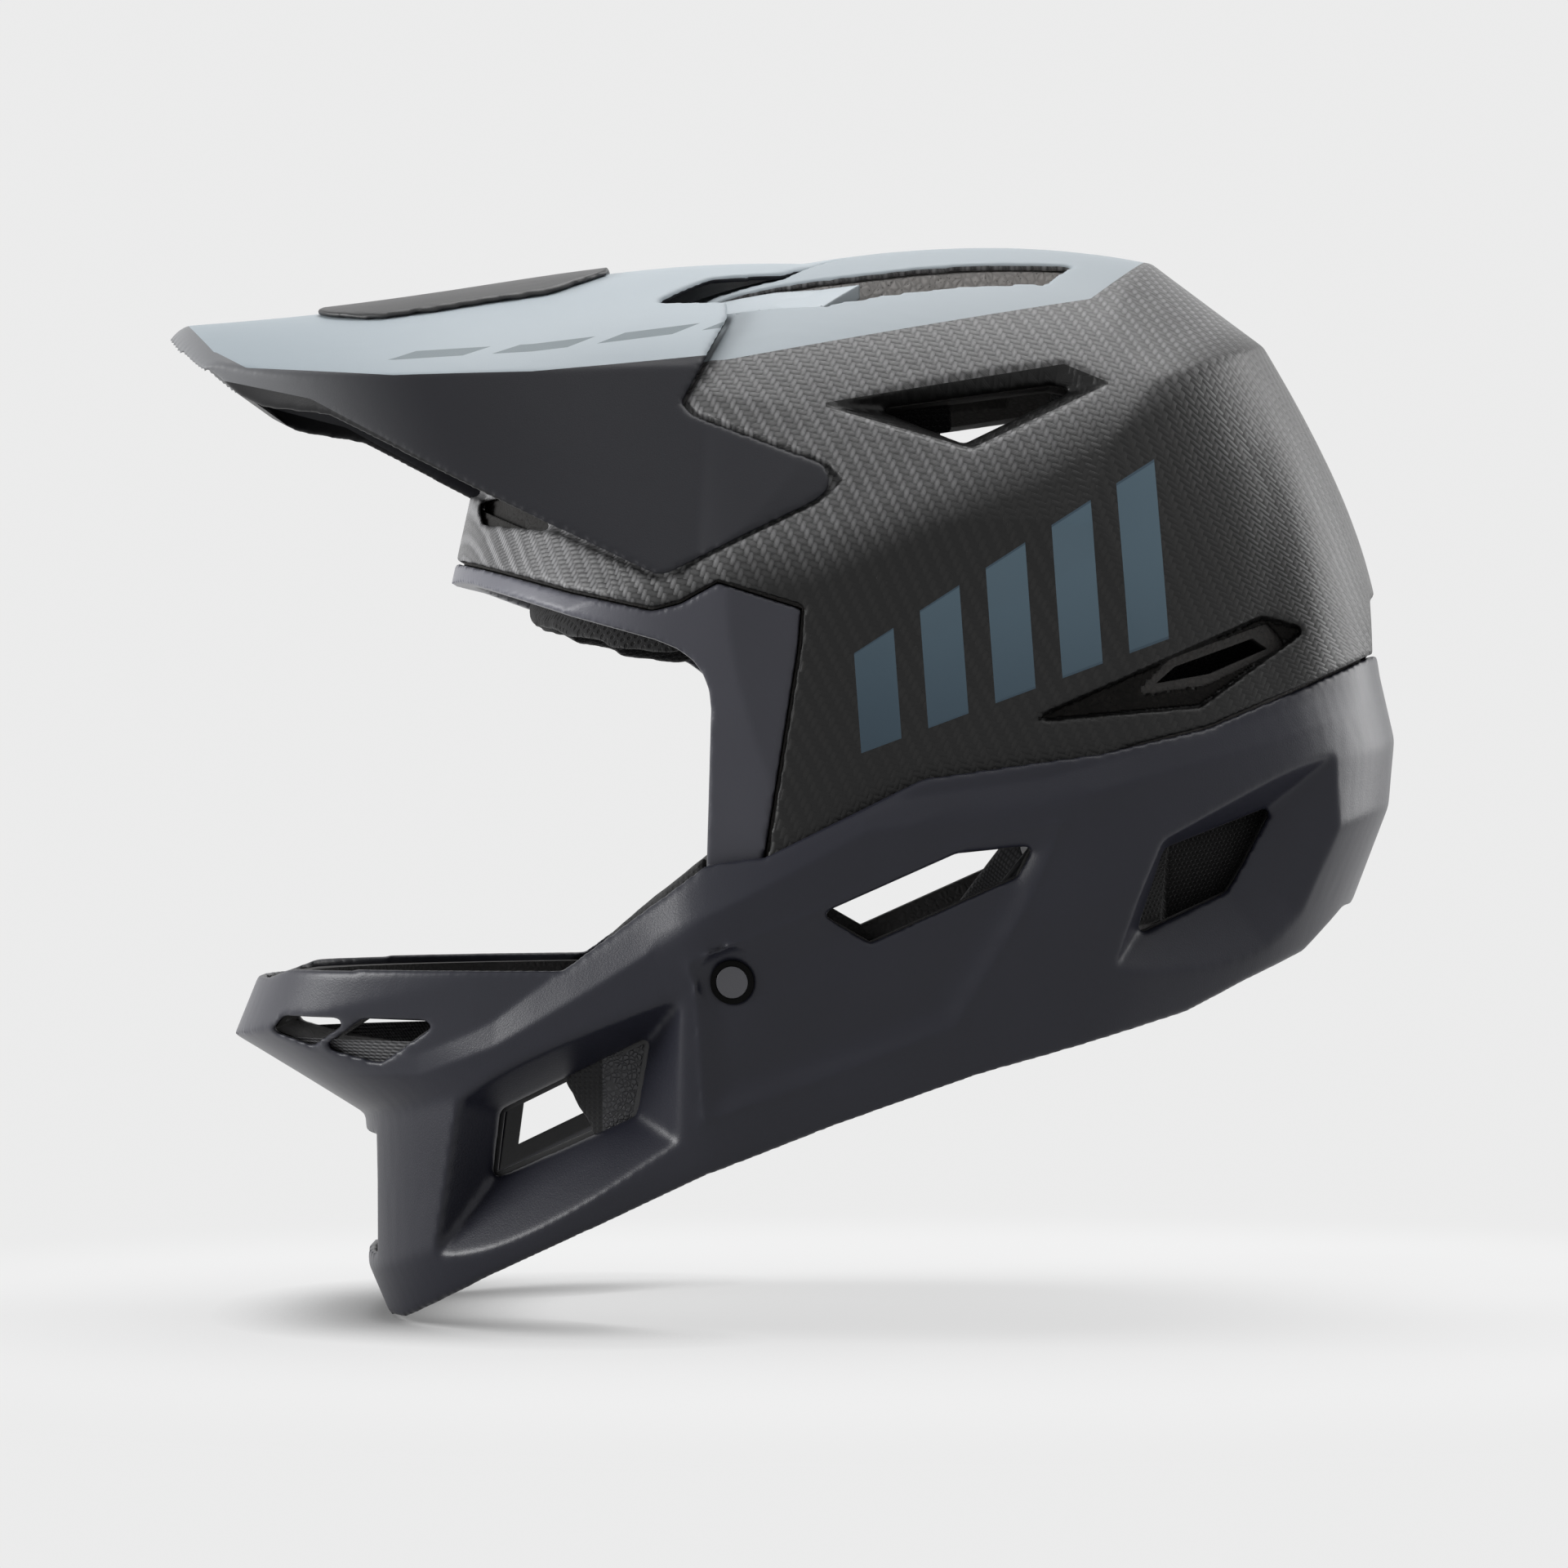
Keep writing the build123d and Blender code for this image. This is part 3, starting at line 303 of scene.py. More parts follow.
# The crease of the carbon flanks and the lower edge of the blue paint above them
FLANK = [(0.10, 0.60), (0.42, 0.655), (0.53, 0.680), (0.70, 0.765), (0.89, 0.905), (1.02, 1.00)]
PAINT_LINE = [(0.30, 0.875), (0.458, 0.880), (0.745, 0.938), (0.800, 0.988), (1.0, 1.06)]
# The visor's shoulder crease and the lower edge of its side
SHOULDER = [(0.0, 0.905), (0.051, 0.892), (0.077, 0.876), (0.196, 0.866), (0.305, 0.869), (0.445, 0.884)]
LIP = [(0.0, 0.905), (0.047, 0.868), (0.13, 0.846), (0.2395, 0.778), (0.40, 0.683), (0.56, 0.60)]
# The crease under the jaw's rim
RIM_CREASE = [(0.0, 0.225), (0.216, 0.237), (0.277, 0.2645), (0.358, 0.320), (0.402, 0.352), (0.442, 0.380),
              (0.493, 0.411), (0.565, 0.456), (0.705, 0.480), (0.88, 0.535), (1.02, 0.59)]

# Light blue and slate paint
BLUE, BLUE_LOW = (0.480, 0.535, 0.572), (0.440, 0.495, 0.532)
# The peak's blue near its front edge, darker as painted shade
BLUE_FRONT_SHADE = (0.36, 0.415, 0.452)
SLATE, SLATE_LIGHT = (0.052, 0.085, 0.115), (0.10, 0.155, 0.195)
# Carbon tows with painted light and shade: painted shade away from the lamp, painted light towards it and a
# painted highlight on the brow: the weft's colour, then the warp's
TOW_PAINTED_SHADE = (0.005, 0.005, 0.005), (0.013, 0.0128, 0.0125)
TOW_PAINTED_LIGHT = (0.150, 0.150, 0.150), (0.260, 0.259, 0.262)
TOW_PAINTED_BROW_HIGHLIGHT = (0.20, 0.20, 0.205), (0.36, 0.36, 0.37)
# Black in the gaps of the weave, and painted shade in the vents' recesses
GAP_BLACK, VENT_PAINTED_SHADE = (0.002, 0.002, 0.002), (0.003, 0.003, 0.003)

# The carbon cloth, in millimetres: its radius and axis round the crown, where it bends round the brow, the
# brow's half width, its direction in degrees, and the sizes of its tows and flecks
CLOTH_RADIUS, CLOTH_AXIS = 108.0, 10.0
CLOTH_BEND, BROW_HALF = mm_x(0.40), 104.0
CLOTH_TURN, TOW, FLECK = -17.0, 1.5, 1.7
# Fibres seen across a tow
FIBRES = 5
# The slate bars: where they start, their direction and lean, pitch, part of the pitch, number, middle,
# half height at the first one and how that grows
BAR_START, BAR_TURN, BAR_LEAN = (0.560, 0.560), 27.0, 0.42
BAR_PITCH, BAR_PART, BARS = 21.0, 0.60, 5.0
BAR_MIDDLE, BAR_HALF, BAR_GROWTH = 3.0, 13.0, 0.11


def weave(a, b, tow):
    """A 2 by 2 twill: 1 where the warp is on top, the height of the cloth, and the lines of its fibres."""
    a, b = a / tow, b / tow
    column, row = a.floor(), b.floor()
    across, along = a - column, b - row
    turn = (column + row).modulo(4.0)
    warp = turn < 2.0
    warp_run = (turn + along) * 0.5
    weft_run = (turn - 2.0 + across) * 0.5
    warp_height = (across * math.pi).sine() * 0.55 + (warp_run * math.pi).sine() * 0.45
    weft_height = (along * math.pi).sine() * 0.55 + (weft_run * math.pi).sine() * 0.45
    warp_lines = (across * (2 * math.pi * FIBRES)).sine()
    weft_lines = (along * (2 * math.pi * FIBRES)).sine()
    return warp, warp.choose(weft_height, warp_height), warp.choose(weft_lines, warp_lines)


def slate_bars(paint):
    """Slanted bars on the sides of the crown: where they are, and their colour."""
    s, t = turned(paint.x - mm_x(BAR_START[0]), paint.z - mm_z(BAR_START[1]), BAR_TURN)
    slant = s - t * BAR_LEAN
    cell = slant / BAR_PITCH
    bar = (cell.fraction() < BAR_PART) * (cell > 0.0) * (cell < BARS)
    tall = slant * BAR_GROWTH + BAR_HALF
    away = (t - BAR_MIDDLE).abs()
    bar = bar * (away < tall) * (paint.ny.abs() > 0.45)
    slate = (paint.z / 60.0).ramp(-0.2, 0.9).choose(SLATE, SLATE_LIGHT)
    return bar, (away < tall * 0.97).choose(SLATE, slate)


def carbon_paint():
    """Carbon twill on the crown shell, with its light blue top and the slate bars on its sides, and painted
    light and shade on its tows and in its vents.
    """
    paint = Paint("carbon_twill", coat_weight=0.06, coat_roughness=0.26, specular_ior_level=0.27)
    angle = (paint.z - CLOTH_AXIS).math("ARCTAN2", paint.y.abs())
    # Round the brow, the length along the cloth is the chord from where the front begins to bend
    ahead = (CLOTH_BEND - paint.x).most(0.0)
    aside = (BROW_HALF - paint.y.abs()).most(0.0) * ahead.ramp(0.0, 14.0)
    along = paint.x.most(CLOTH_BEND) - (ahead * ahead + aside * aside).power(0.5)
    a, b = turned(along, angle * CLOTH_RADIUS, CLOTH_TURN)
    wander = (paint.noise(18.0, 1.0) - 0.5) * 0.9
    warp, height, lines = weave(a + wander, b + wander, TOW)
    patch = paint.noise(9.0, 3.0)
    fleck = paint.noise(FLECK, 2.0, 0.6)
    # Painted light: the cloth is painted lighter towards the lamp, above the crease of the flank, with fewer
    # dark gaps there, and lightest on the brow as a painted highlight; below the crease it is painted shade
    above = (paint.z - paint.line(FLANK)).ramp(-3.0, 16.0)
    brow_highlight = paint.x.ramp(mm_x(0.27), mm_x(0.43), 1.0, 0.0)
    tow = above.choose(warp.choose(*TOW_PAINTED_SHADE), warp.choose(*TOW_PAINTED_LIGHT))
    tow = brow_highlight.choose(tow, warp.choose(*TOW_PAINTED_BROW_HIGHLIGHT))
    relief = (height * 0.7 + lines * 0.12 + patch * 0.3 + fleck * 0.5).ramp(0.2, 1.35).most(above * 0.35)
    tow = relief.choose(GAP_BLACK, tow)
    # The recesses of the low vents and of the side vents are painted black: painted shade
    vent_shade = paint.between(LOW_VENT_UNDER, LOW_VENT_OVER) * (paint.ny.abs() > 0.2)
    vent_shade = vent_shade.most(paint.between(SIDE_VENT_UNDER, SIDE_VENT_OVER))
    tow = vent_shade.choose(tow, VENT_PAINTED_SHADE)
    # Light blue on the outside over the paint line, with soft changes of depth in the coat
    top = ((paint.z - paint.line(PAINT_LINE)) > 0.0) * (paint.nz > 0.15)
    shade = paint.noise(40.0, 2.0)
    blue = shade.choose(scaled(BLUE_LOW, 0.86), scaled(BLUE, 0.86))
    bar, slate = slate_bars(paint)
    paint.set("Base Color", top.choose(bar.choose(tow, slate), blue))
    painted = top.most(bar)
    cloth_rough = warp.choose(0.28, 0.37) + patch * 0.08
    paint.set("Roughness", painted.choose(cloth_rough, shade * 0.08 + 0.46))
    fine = paint.noise(0.35, 2.0)
    paint.bump(painted.choose(height + lines * 0.08, fine * 0.12 + 0.9), 0.18, radius=1.0, strength=0.8)
    return paint.material


def moulded(name, tones, rough, radius, grain=0.05, size=0.5, **values):
    """Matte paint or moulded plastic, with a fine grain, soft clouding and rounded edges.

    Its tones are the two colours of the clouding, or a function that gives the colour.
    """
    paint = Paint(name, **values)
    cloud = paint.noise(35.0, 3.0)
    fine = paint.noise(size, 3.0, 0.6)
    colour = tones(paint, cloud) if callable(tones) else (cloud * 0.7 + fine * 0.3).choose(*tones)
    paint.set("Base Color", colour)
    paint.set("Roughness", cloud * 0.10 + fine * 0.06 + (rough - 0.08))
    paint.bump(fine, grain, radius=radius)
    return paint.material


# Greys of the jaw and of the eye port's frame, with painted highlights on the jaw's rim and beak and on the
# frame's brow
JAW_DARK, JAW_LIGHT = (0.012, 0.0125, 0.020), (0.018, 0.0187, 0.029)
JAW_RIM_HIGHLIGHT, JAW_BEAK_HIGHLIGHT = (0.026, 0.027, 0.037), (0.070, 0.071, 0.085)
FRAME_DARK, FRAME_LIGHT, FRAME_BROW_HIGHLIGHT = (0.044, 0.0446, 0.056), (0.055, 0.0557, 0.069), (0.165, 0.167, 0.195)


def jaw_tones(paint, cloud):
    """Dark grey, with painted highlights: a little paler on the rim above its crease and at the front of the
    beak.
    """
    rim_highlight = (paint.z - paint.line(RIM_CREASE)).ramp(-0.5, 1.5)
    rim_highlight = rim_highlight * paint.x.ramp(mm_x(0.42), mm_x(0.52), 1.0, 0.0)
    beak_highlight = paint.x.ramp(mm_x(0.05), mm_x(0.17), 1.0, 0.0) * paint.z.ramp(mm_z(0.150), mm_z(0.185))
    return beak_highlight.choose(rim_highlight.choose(cloud.choose(JAW_DARK, JAW_LIGHT), JAW_RIM_HIGHLIGHT), JAW_BEAK_HIGHLIGHT)


def frame_tones(paint, cloud):
    """Grey, with a painted highlight: paler along the brow."""
    brow_highlight = paint.x.ramp(mm_x(0.28), mm_x(0.42), 1.0, 0.0)
    return brow_highlight.choose(cloud.choose(FRAME_DARK, FRAME_LIGHT), FRAME_BROW_HIGHLIGHT)


# How far the visor's front edge curves back, and at which half width
NOSE_BACK, NOSE_HALF = 0.014, 0.055
VISOR_DARK, VISOR_LIGHT = (0.011, 0.0112, 0.015), (0.015, 0.0154, 0.020)
# The peak's grey near its front edge is a painted highlight
VISOR_NOSE_HIGHLIGHT, VISOR_UNDER, DASH_GREY = (0.24, 0.245, 0.255), (0.012, 0.012, 0.013), (0.20, 0.24, 0.26)
# In millimetres: the dark edge along the peak's front, the dashes' start, pitch, part of the pitch, number
# and slant, and the band above the crease that they fill, with its start and rise
PEAK_EDGE = 6.0
DASH_START, DASH_PITCH, DASH_PART, DASHES, DASH_SLANT = -170.0, 27.0, 0.72, 4.0, 3.0
BAND_LOW, BAND_HIGH, BAND_START, BAND_RISE = 4.6, 7.0, -160.0, 0.035


def visor_paint():
    """Light blue on the peak's top and dark grey on its sides, with thin dashes along the shoulder, and
    towards the front edge painted shade on the blue and a painted highlight on the grey.
    """
    paint = Paint("visor_two_tone", specular_ior_level=0.27)
    shade = paint.noise(45.0, 2.0)
    fine = paint.noise(0.45, 3.0, 0.6)
    over = paint.z - paint.line(SHOULDER)
    edge = paint.x - mm_x(0.0) - paint.y * paint.y * (NOSE_BACK / NOSE_HALF ** 2 / 1000)
    top = (over > 0.0) * (paint.nz > 0.02) * (edge > PEAK_EDGE)
    # The blue darkens towards the front edge: painted shade
    blue = edge.ramp(PEAK_EDGE, 90.0).choose(BLUE_FRONT_SHADE, shade.choose(BLUE_LOW, BLUE))
    cell = (paint.x - over * DASH_SLANT - DASH_START) / DASH_PITCH
    dash = (cell.fraction() < DASH_PART) * (cell > 0.0) * (cell < DASHES)
    band = over - (paint.x - BAND_START) * BAND_RISE
    dash = dash * (band > BAND_LOW) * (band < BAND_HIGH)
    blue = (dash * (paint.nz > 0.3)).choose(blue, DASH_GREY)
    # The grey pales towards the front edge: a painted highlight
    dark = edge.ramp(0.0, 55.0).power(0.4).choose(VISOR_NOSE_HIGHLIGHT, shade.choose(VISOR_DARK, VISOR_LIGHT))
    dark = ((paint.line(LIP) - paint.z) > 0.0).choose(dark, VISOR_UNDER)
    paint.set("Base Color", top.choose(dark, blue))
    paint.set("Roughness", shade * 0.08 + fine * 0.05 + 0.36)
    paint.bump(fine, 0.04, radius=0.9)
    return paint.material


# Foam beads and pits in millimetres, their seams, the floor of the top vents, above which the foam is
# painted pale as painted light, and the liner's front, painted dark as painted shade under the visor, with
# its two tones
BEAD, PIT, SEAM_BLACK = 2.2, 1.3, (0.004, 0.004, 0.004)
TOP_FOAM, FOAM_FRONT = 0.925, 0.36
SHADED_FRONT_DARK, SHADED_FRONT_LIGHT = (0.002, 0.0018, 0.0016), (0.016, 0.0142, 0.013)


def foam(name, dark, light, top=None, **values):
    """Expanded foam: beads with thin soft seams and small pits; given a top colour, it is painted pale in
    the top vents as painted light and dark at the liner's front as painted shade.
    """
    paint = Paint(name, **values)
    bead = paint.cells(BEAD, "DISTANCE_TO_EDGE").ramp(0.0, 0.35)
    tone = paint.cell_shade(BEAD) * 0.4 + paint.noise(0.7, 3.0) * 0.6
    pits = paint.cells(PIT).ramp(0.10, 0.24)
    colour = (bead * 0.4 + pits * 0.6).choose(SEAM_BLACK, tone.choose(dark, light))
    # Painted light on the foam in the top vents, and painted shade at the liner's front
    if top:
        pale = tone.choose(scaled(top, 0.72), top)
        pale = (bead * 0.35 + pits * 0.65).choose(scaled(top, 0.30), pale)
        colour = (paint.z > mm_z(TOP_FOAM)).choose(colour, pale)
        colour = (paint.x < mm_x(FOAM_FRONT)).choose(colour, tone.choose(SHADED_FRONT_DARK, SHADED_FRONT_LIGHT))
    paint.set("Base Color", colour)
    paint.set("Roughness", tone * 0.2 + 0.7)
    paint.bump(bead * 0.7 + pits * 0.3 + tone * 0.1, 0.35, radius=0.8, strength=0.7)
    return paint.material


# The radius in millimetres at which the knit is laid round the head
KNIT_RADIUS = 80.0


def knit(name, dark, light, pitch=2.0):
    """Open knitted mesh: rows of round holes, staggered, with yarn between them."""
    paint = Paint(name, sheen_weight=0.15, sheen_roughness=0.5, specular_ior_level=0.2)
    round_head = paint.z.math("ARCTAN2", paint.y.abs()) * KNIT_RADIUS
    a, b = paint.x / pitch, round_head / (pitch * 0.87)
    a = a + b.floor().modulo(2.0) * 0.5
    u, v = a.fraction() - 0.5, b.fraction() - 0.5
    yarn = (u * u + v * v).power(0.5).ramp(0.20, 0.36)
    strands = (a * (2 * math.pi * 3)).sine() * 0.15 + paint.noise(0.5, 2.0) * 0.4
    paint.set("Base Color", (yarn * 0.8 + strands * 0.3).choose(dark, light))
    paint.set("Roughness", strands * 0.1 + 0.8)
    paint.bump(yarn + strands * 0.2, 0.45, strength=0.9)
    return paint.material


# Leather and mesh of the cheek pads, and the mesh's pitch in millimetres
HIDE_DARK, HIDE_LIGHT = (0.007, 0.007, 0.009), (0.026, 0.026, 0.031)
MESH_DARK, MESH_LIGHT = (0.002, 0.002, 0.002), (0.016, 0.016, 0.017)
MESH_PITCH = 1.5


def cheek_paint():
    """Cheek pad cover: a grained leather panel on its outer side, and fine black mesh round it."""
    paint = Paint("cheek_leather_and_mesh", sheen_weight=0.15, sheen_roughness=0.5)
    outward = paint.ny * paint.y.math("SIGN")
    panel = (paint.x > mm_x(PAD_HEM[1][0])) * (outward > 0.15) * ((paint.line(PAD_HEM) - paint.z) > 0.0)
    grain = paint.cells(1.3, "DISTANCE_TO_EDGE").ramp(0.0, 0.22)
    large = paint.noise(14.0, 3.0)
    hide = (grain * 0.6 + large * 0.5).ramp(0.2, 1.1).choose(HIDE_DARK, HIDE_LIGHT)
    u, v = ((field / MESH_PITCH).fraction() - 0.5 for field in (paint.x, paint.z))
    yarn = (u * u + v * v).power(0.5).ramp(0.16, 0.40)
    paint.set("Base Color", panel.choose(yarn.choose(MESH_DARK, MESH_LIGHT), hide))
    paint.set("Roughness", panel.choose(yarn * 0.1 + 0.8, grain * -0.12 + 0.55))
    paint.bump(panel.choose(yarn, grain * 0.8), 0.25, strength=0.8)
    return paint.material


def webbing_paint(rib_axis, yarn_axis):
    """Flat woven strap: ribs across it with yarns over and under."""
    paint = Paint("woven_strap", sheen_weight=0.3)
    a, b = (
        (paint.x * axis[0] + paint.y * axis[1] + paint.z * axis[2]) / pitch
        for axis, pitch in ((rib_axis, 1.1), (yarn_axis, 0.9))
    )
    row = b.floor()
    over = ((a + row * 0.5).fraction() * math.pi).sine() * ((b - row) * math.pi).sine()
    yarn = over + paint.noise(0.3, 2.0) * 0.3
    paint.set("Base Color", yarn.choose((0.006, 0.006, 0.007), (0.040, 0.040, 0.044)))
    paint.set("Roughness", yarn * -0.1 + 0.8)
    paint.bump(yarn, 0.2, strength=0.9)
    return paint.material


def steel_paint(base):
    """Brushed steel with faint stains."""
    paint = Paint("brushed_steel", metallic=1.0)
    brushed = paint.noise(0.5, 3.0, 0.6, stretch=(8.0, 1.0, 8.0))
    stain = paint.noise(6.0, 3.0)
    paint.set("Base Color", stain.choose(scaled(base, 0.8), base))
    paint.set("Roughness", brushed * 0.12 + stain * 0.06 + 0.28)
    paint.bump(brushed, 0.02, radius=0.25)
    return paint.material


def screen_paint():
    """Woven grey screen: crossed wires a millimetre apart, with dark gaps."""
    paint = Paint("grey_screen")
    wires = sum(((field * (2 * math.pi)).sine() * 0.5 for field in (paint.y + paint.x * 0.3, paint.z)), 0.5)
    tone = paint.noise(3.0, 3.0)
    paint.set("Base Color", wires.ramp(0.0, 1.0).choose((0.012, 0.012, 0.013), (0.12, 0.12, 0.125)))
    paint.set("Roughness", tone * 0.2 + 0.5)
    paint.bump(wires, 0.25, strength=0.8)
    return paint.material


carbon = carbon_paint()
jaw_grey = moulded("matte_dark_grey", jaw_tones, 0.35, 1.0, specular_ior_level=0.31)
two_tone = visor_paint()
frame_grey = moulded("moulded_frame_grey", frame_tones, 0.35, 1.0, grain=0.04, specular_ior_level=0.3)
ramp_blue = moulded("ramp_light_blue", (BLUE_LOW, BLUE), 0.42, 1.0, grain=0.03)
# The crown foam's third colour is its pale in the top vents: painted light
crown_foam = foam("crown_bead_foam", (0.012, 0.011, 0.010), (0.045, 0.041, 0.038), (0.72, 0.69, 0.665))
jaw_foam = foam("jaw_bead_foam", (0.012, 0.011, 0.011), (0.030, 0.028, 0.028))
# Foam lining the low vents, darker than the other foam and with little shine: painted shade in the recesses
shaded_vent_foam = foam("shaded_vent_bead_foam", (0.004, 0.0037, 0.0034), (0.020, 0.0185, 0.017), specular_ior_level=0.08)
black_plastic = moulded("moulded_black", ((0.012, 0.012, 0.013), (0.020, 0.020, 0.021)), 0.42, 0.5)
ring_black = moulded(
    "ring_black", ((0.002, 0.002, 0.002), (0.003, 0.003, 0.003)), 0.60, 0.3, grain=0.01,
    specular_ior_level=0.05
)
screw_grey = moulded("screw_grey", ((0.060, 0.060, 0.068), (0.080, 0.080, 0.090)), 0.38, 0.5, grain=0.03)
black_rubber = moulded(
    "black_rubber", ((0.010, 0.010, 0.011), (0.018, 0.018, 0.019)), 0.52, 0.5, grain=0.06, size=0.7
)
screen = screen_paint()
steel = steel_paint((0.55, 0.55, 0.56))
black_knit = knit("black_knit_mesh", (0.002, 0.002, 0.002), (0.015, 0.015, 0.016))
neck_knit = knit("neck_knit", (0.001, 0.001, 0.001), (0.007, 0.0068, 0.0068), 1.3)
cheek_cover = cheek_paint()


def dressed(mesh, material):
    mesh.materials.clear()
    mesh.materials.append(material)


for material, names in (
    (crown_foam, ["crown_liner"]),
    (jaw_foam, ["jaw_liner_left", "jaw_liner_right", "chin_liner"]),
    (screen, ["beak_mesh"]),
    (black_rubber, ["window_trims", "prong_bushes"]),
    (screw_grey, ["cheek_screws"]),
    (ring_black, ["cheek_washers"]),
    (steel, ["strap_anchors", "buckle_pin"]),
    (black_plastic, ["mouth_grille", "visor_prongs", "buckle_housing", "buckle_lever", "buckle_tongue"]),
):
    for name in names:
        dressed(nodes[name].data, material)


def evaluated(obj):
    """The mesh of an object with its modifiers, on its own."""
    bpy.context.view_layer.update()
    return bpy.data.meshes.new_from_object(obj.evaluated_get(bpy.context.evaluated_depsgraph_get()))


def taken(trial):
    """The mesh of a trial object with its modifiers. The object is removed."""
    mesh = evaluated(trial)
    bpy.data.objects.remove(trial)
    return mesh


def new_piece(name, mesh, material, body, replaced=()):
    obj = linked(name, mesh)
    dressed(mesh, material)
    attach(obj, body)
    if replaced:
        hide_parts(*replaced)
    return obj


def remeshed(node, voxel, rounds):
    """A node's mesh again in small even faces, with its edges softened."""
    trial = linked("trial", nodes[node].data.copy())
    fine = trial.modifiers.new("fine", "REMESH")
    fine.mode = "VOXEL"
    fine.voxel_size = voxel
    soft = trial.modifiers.new("soft", "SMOOTH")
    soft.factor = 0.5
    soft.iterations = rounds
    return taken(trial)


def points_of(mesh):
    points = np.zeros(len(mesh.vertices) * 3, np.float32)
    mesh.vertices.foreach_get("co", points)
    return points.reshape(-1, 3).astype(float)


def normals_of(mesh):
    return np.array([v.normal for v in mesh.vertices], float)


def set_points(mesh, points):
    mesh.vertices.foreach_set("co", points.astype(np.float32).ravel())
    mesh.update()
    mesh.shade_smooth()


def tree_of(node):
    mesh = nodes[node].data
    return BVHTree.FromPolygons([v.co for v in mesh.vertices], [p.vertices for p in mesh.polygons])


def smoothed(t):
    t = np.clip(t, 0, 1)
    return t * t * (3 - 2 * t)


def by_length(table, x):
    """The values of a table by share of the length, at each x."""
    return np.interp(x, [place_x(u) for u, _ in table], [value for _, value in table])


def side_line(points, x):
    """The height of a side view line at each x, in metres."""
    return by_length([(u, place_z(v)) for u, v in points], x)


def sides_of(outline):
    corners = [(place_x(u), place_z(v)) for u, v in outline]
    return zip(corners, corners[1:] + corners[:1])


def side_distance(outline, x, z):
    """How far each point of the side view lies from an outline, in metres."""
    nearest = np.full(len(x), np.inf)
    for (ax, az), (bx, bz) in sides_of(outline):
        t = ((x - ax) * (bx - ax) + (z - az) * (bz - az)) / ((bx - ax) ** 2 + (bz - az) ** 2)
        t = np.clip(t, 0, 1)
        nearest = np.minimum(nearest, np.hypot(x - ax - t * (bx - ax), z - az - t * (bz - az)))
    return nearest


def inside_by(outline, x, z):
    """How far each point of the side view lies inside an outline, in metres, and 0 outside it."""
    inside = np.zeros(len(x), bool)
    for (ax, az), (bx, bz) in sides_of(outline):
        crosses = (az > z) != (bz > z)
        inside ^= crosses & (x < ax + (z - az) / (bz - az + 1e-12) * (bx - ax))
    return np.where(inside, side_distance(outline, x, z), 0.0)


def relaxed(mesh, points, chosen):
    """Some of the points of a mesh drawn level with their neighbours across the helmet, again and again."""
    edges = np.zeros(len(mesh.edges) * 2, np.int32)
    mesh.edges.foreach_get("vertices", edges)
    a, b = edges.reshape(-1, 2).T
    use = chosen[a] | chosen[b]
    a, b = a[use], b[use]
    count = np.bincount(a, minlength=len(points)) + np.bincount(b, minlength=len(points))
    across = points[:, 1]
    for _ in range(RELAX_ROUNDS):
        total = np.bincount(a, across[b], len(points)) + np.bincount(b, across[a], len(points))
        across[chosen] += (total[chosen] / count[chosen] - across[chosen]) * RELAX_SHARE
    return points


# How far the carbon shell's flanks lean in and how far below the crease, where that starts and ends and the
# lengths over which it fades, and how far out it starts and the width over which it grows
FLANK_LEAN, FLANK_DEPTH = 0.0026, 0.030
FLANK_FROM, FLANK_TO = place_x(0.52), place_x(0.93)
FLANK_FADE_IN, FLANK_FADE_OUT = 0.030, 0.020
FLANK_OUT, FLANK_WIDTH = 0.050, 0.030


def flanked(mesh):
    """The carbon shell's flanks lean in below a slanted crease."""
    points = points_of(mesh)
    x, y, z = points.T
    lean = np.clip((side_line(FLANK, x) - z) / FLANK_DEPTH, 0, 1)
    ends = np.clip((x - FLANK_FROM) / FLANK_FADE_IN, 0, 1) * np.clip((FLANK_TO - x) / FLANK_FADE_OUT, 0, 1)
    outer = np.clip((np.abs(y) - FLANK_OUT) / FLANK_WIDTH, 0, 1)
    points[:, 1] -= np.sign(y) * FLANK_LEAN * lean * smoothed(ends) * outer
    set_points(mesh, points)
    return mesh


# How far the jaw shell leans in above its crease, by share of the length, how steeply, and how far out it
# starts with the width over which it grows
RIM_LEAN = [(0.0, 0.0), (0.20, 0.0026), (0.26, 0.0029), (0.325, 0.0042), (0.360, 0.0054), (0.420, 0.0056),
            (0.600, 0.0034), (1.0, 0.0032)]
RIM_SLOPE = 0.40
RIM_OUT, RIM_WIDTH = 0.045, 0.035
# The hollow round its screw: its outline, how much shallower its edge is and how far in, the screw's place
# with the radius kept clear and its fade, and how near the outline and how far out the mesh is relaxed
HOLLOW = [(0.427, 0.342), (0.528, 0.388), (0.647, 0.450), (0.719, 0.468), (0.690, 0.390), (0.635, 0.283),
          (0.520, 0.232), (0.440, 0.200), (0.434, 0.320)]
HOLLOW_RISE, HOLLOW_FADE = 0.0030, 0.008
SCREW, SCREW_CLEAR, SCREW_FADE = (0.463, 0.325), 0.0065, 0.005
RELAX_REACH, RELAX_OUT, RELAX_ROUNDS, RELAX_SHARE = 0.010, 0.08, 14, 0.7


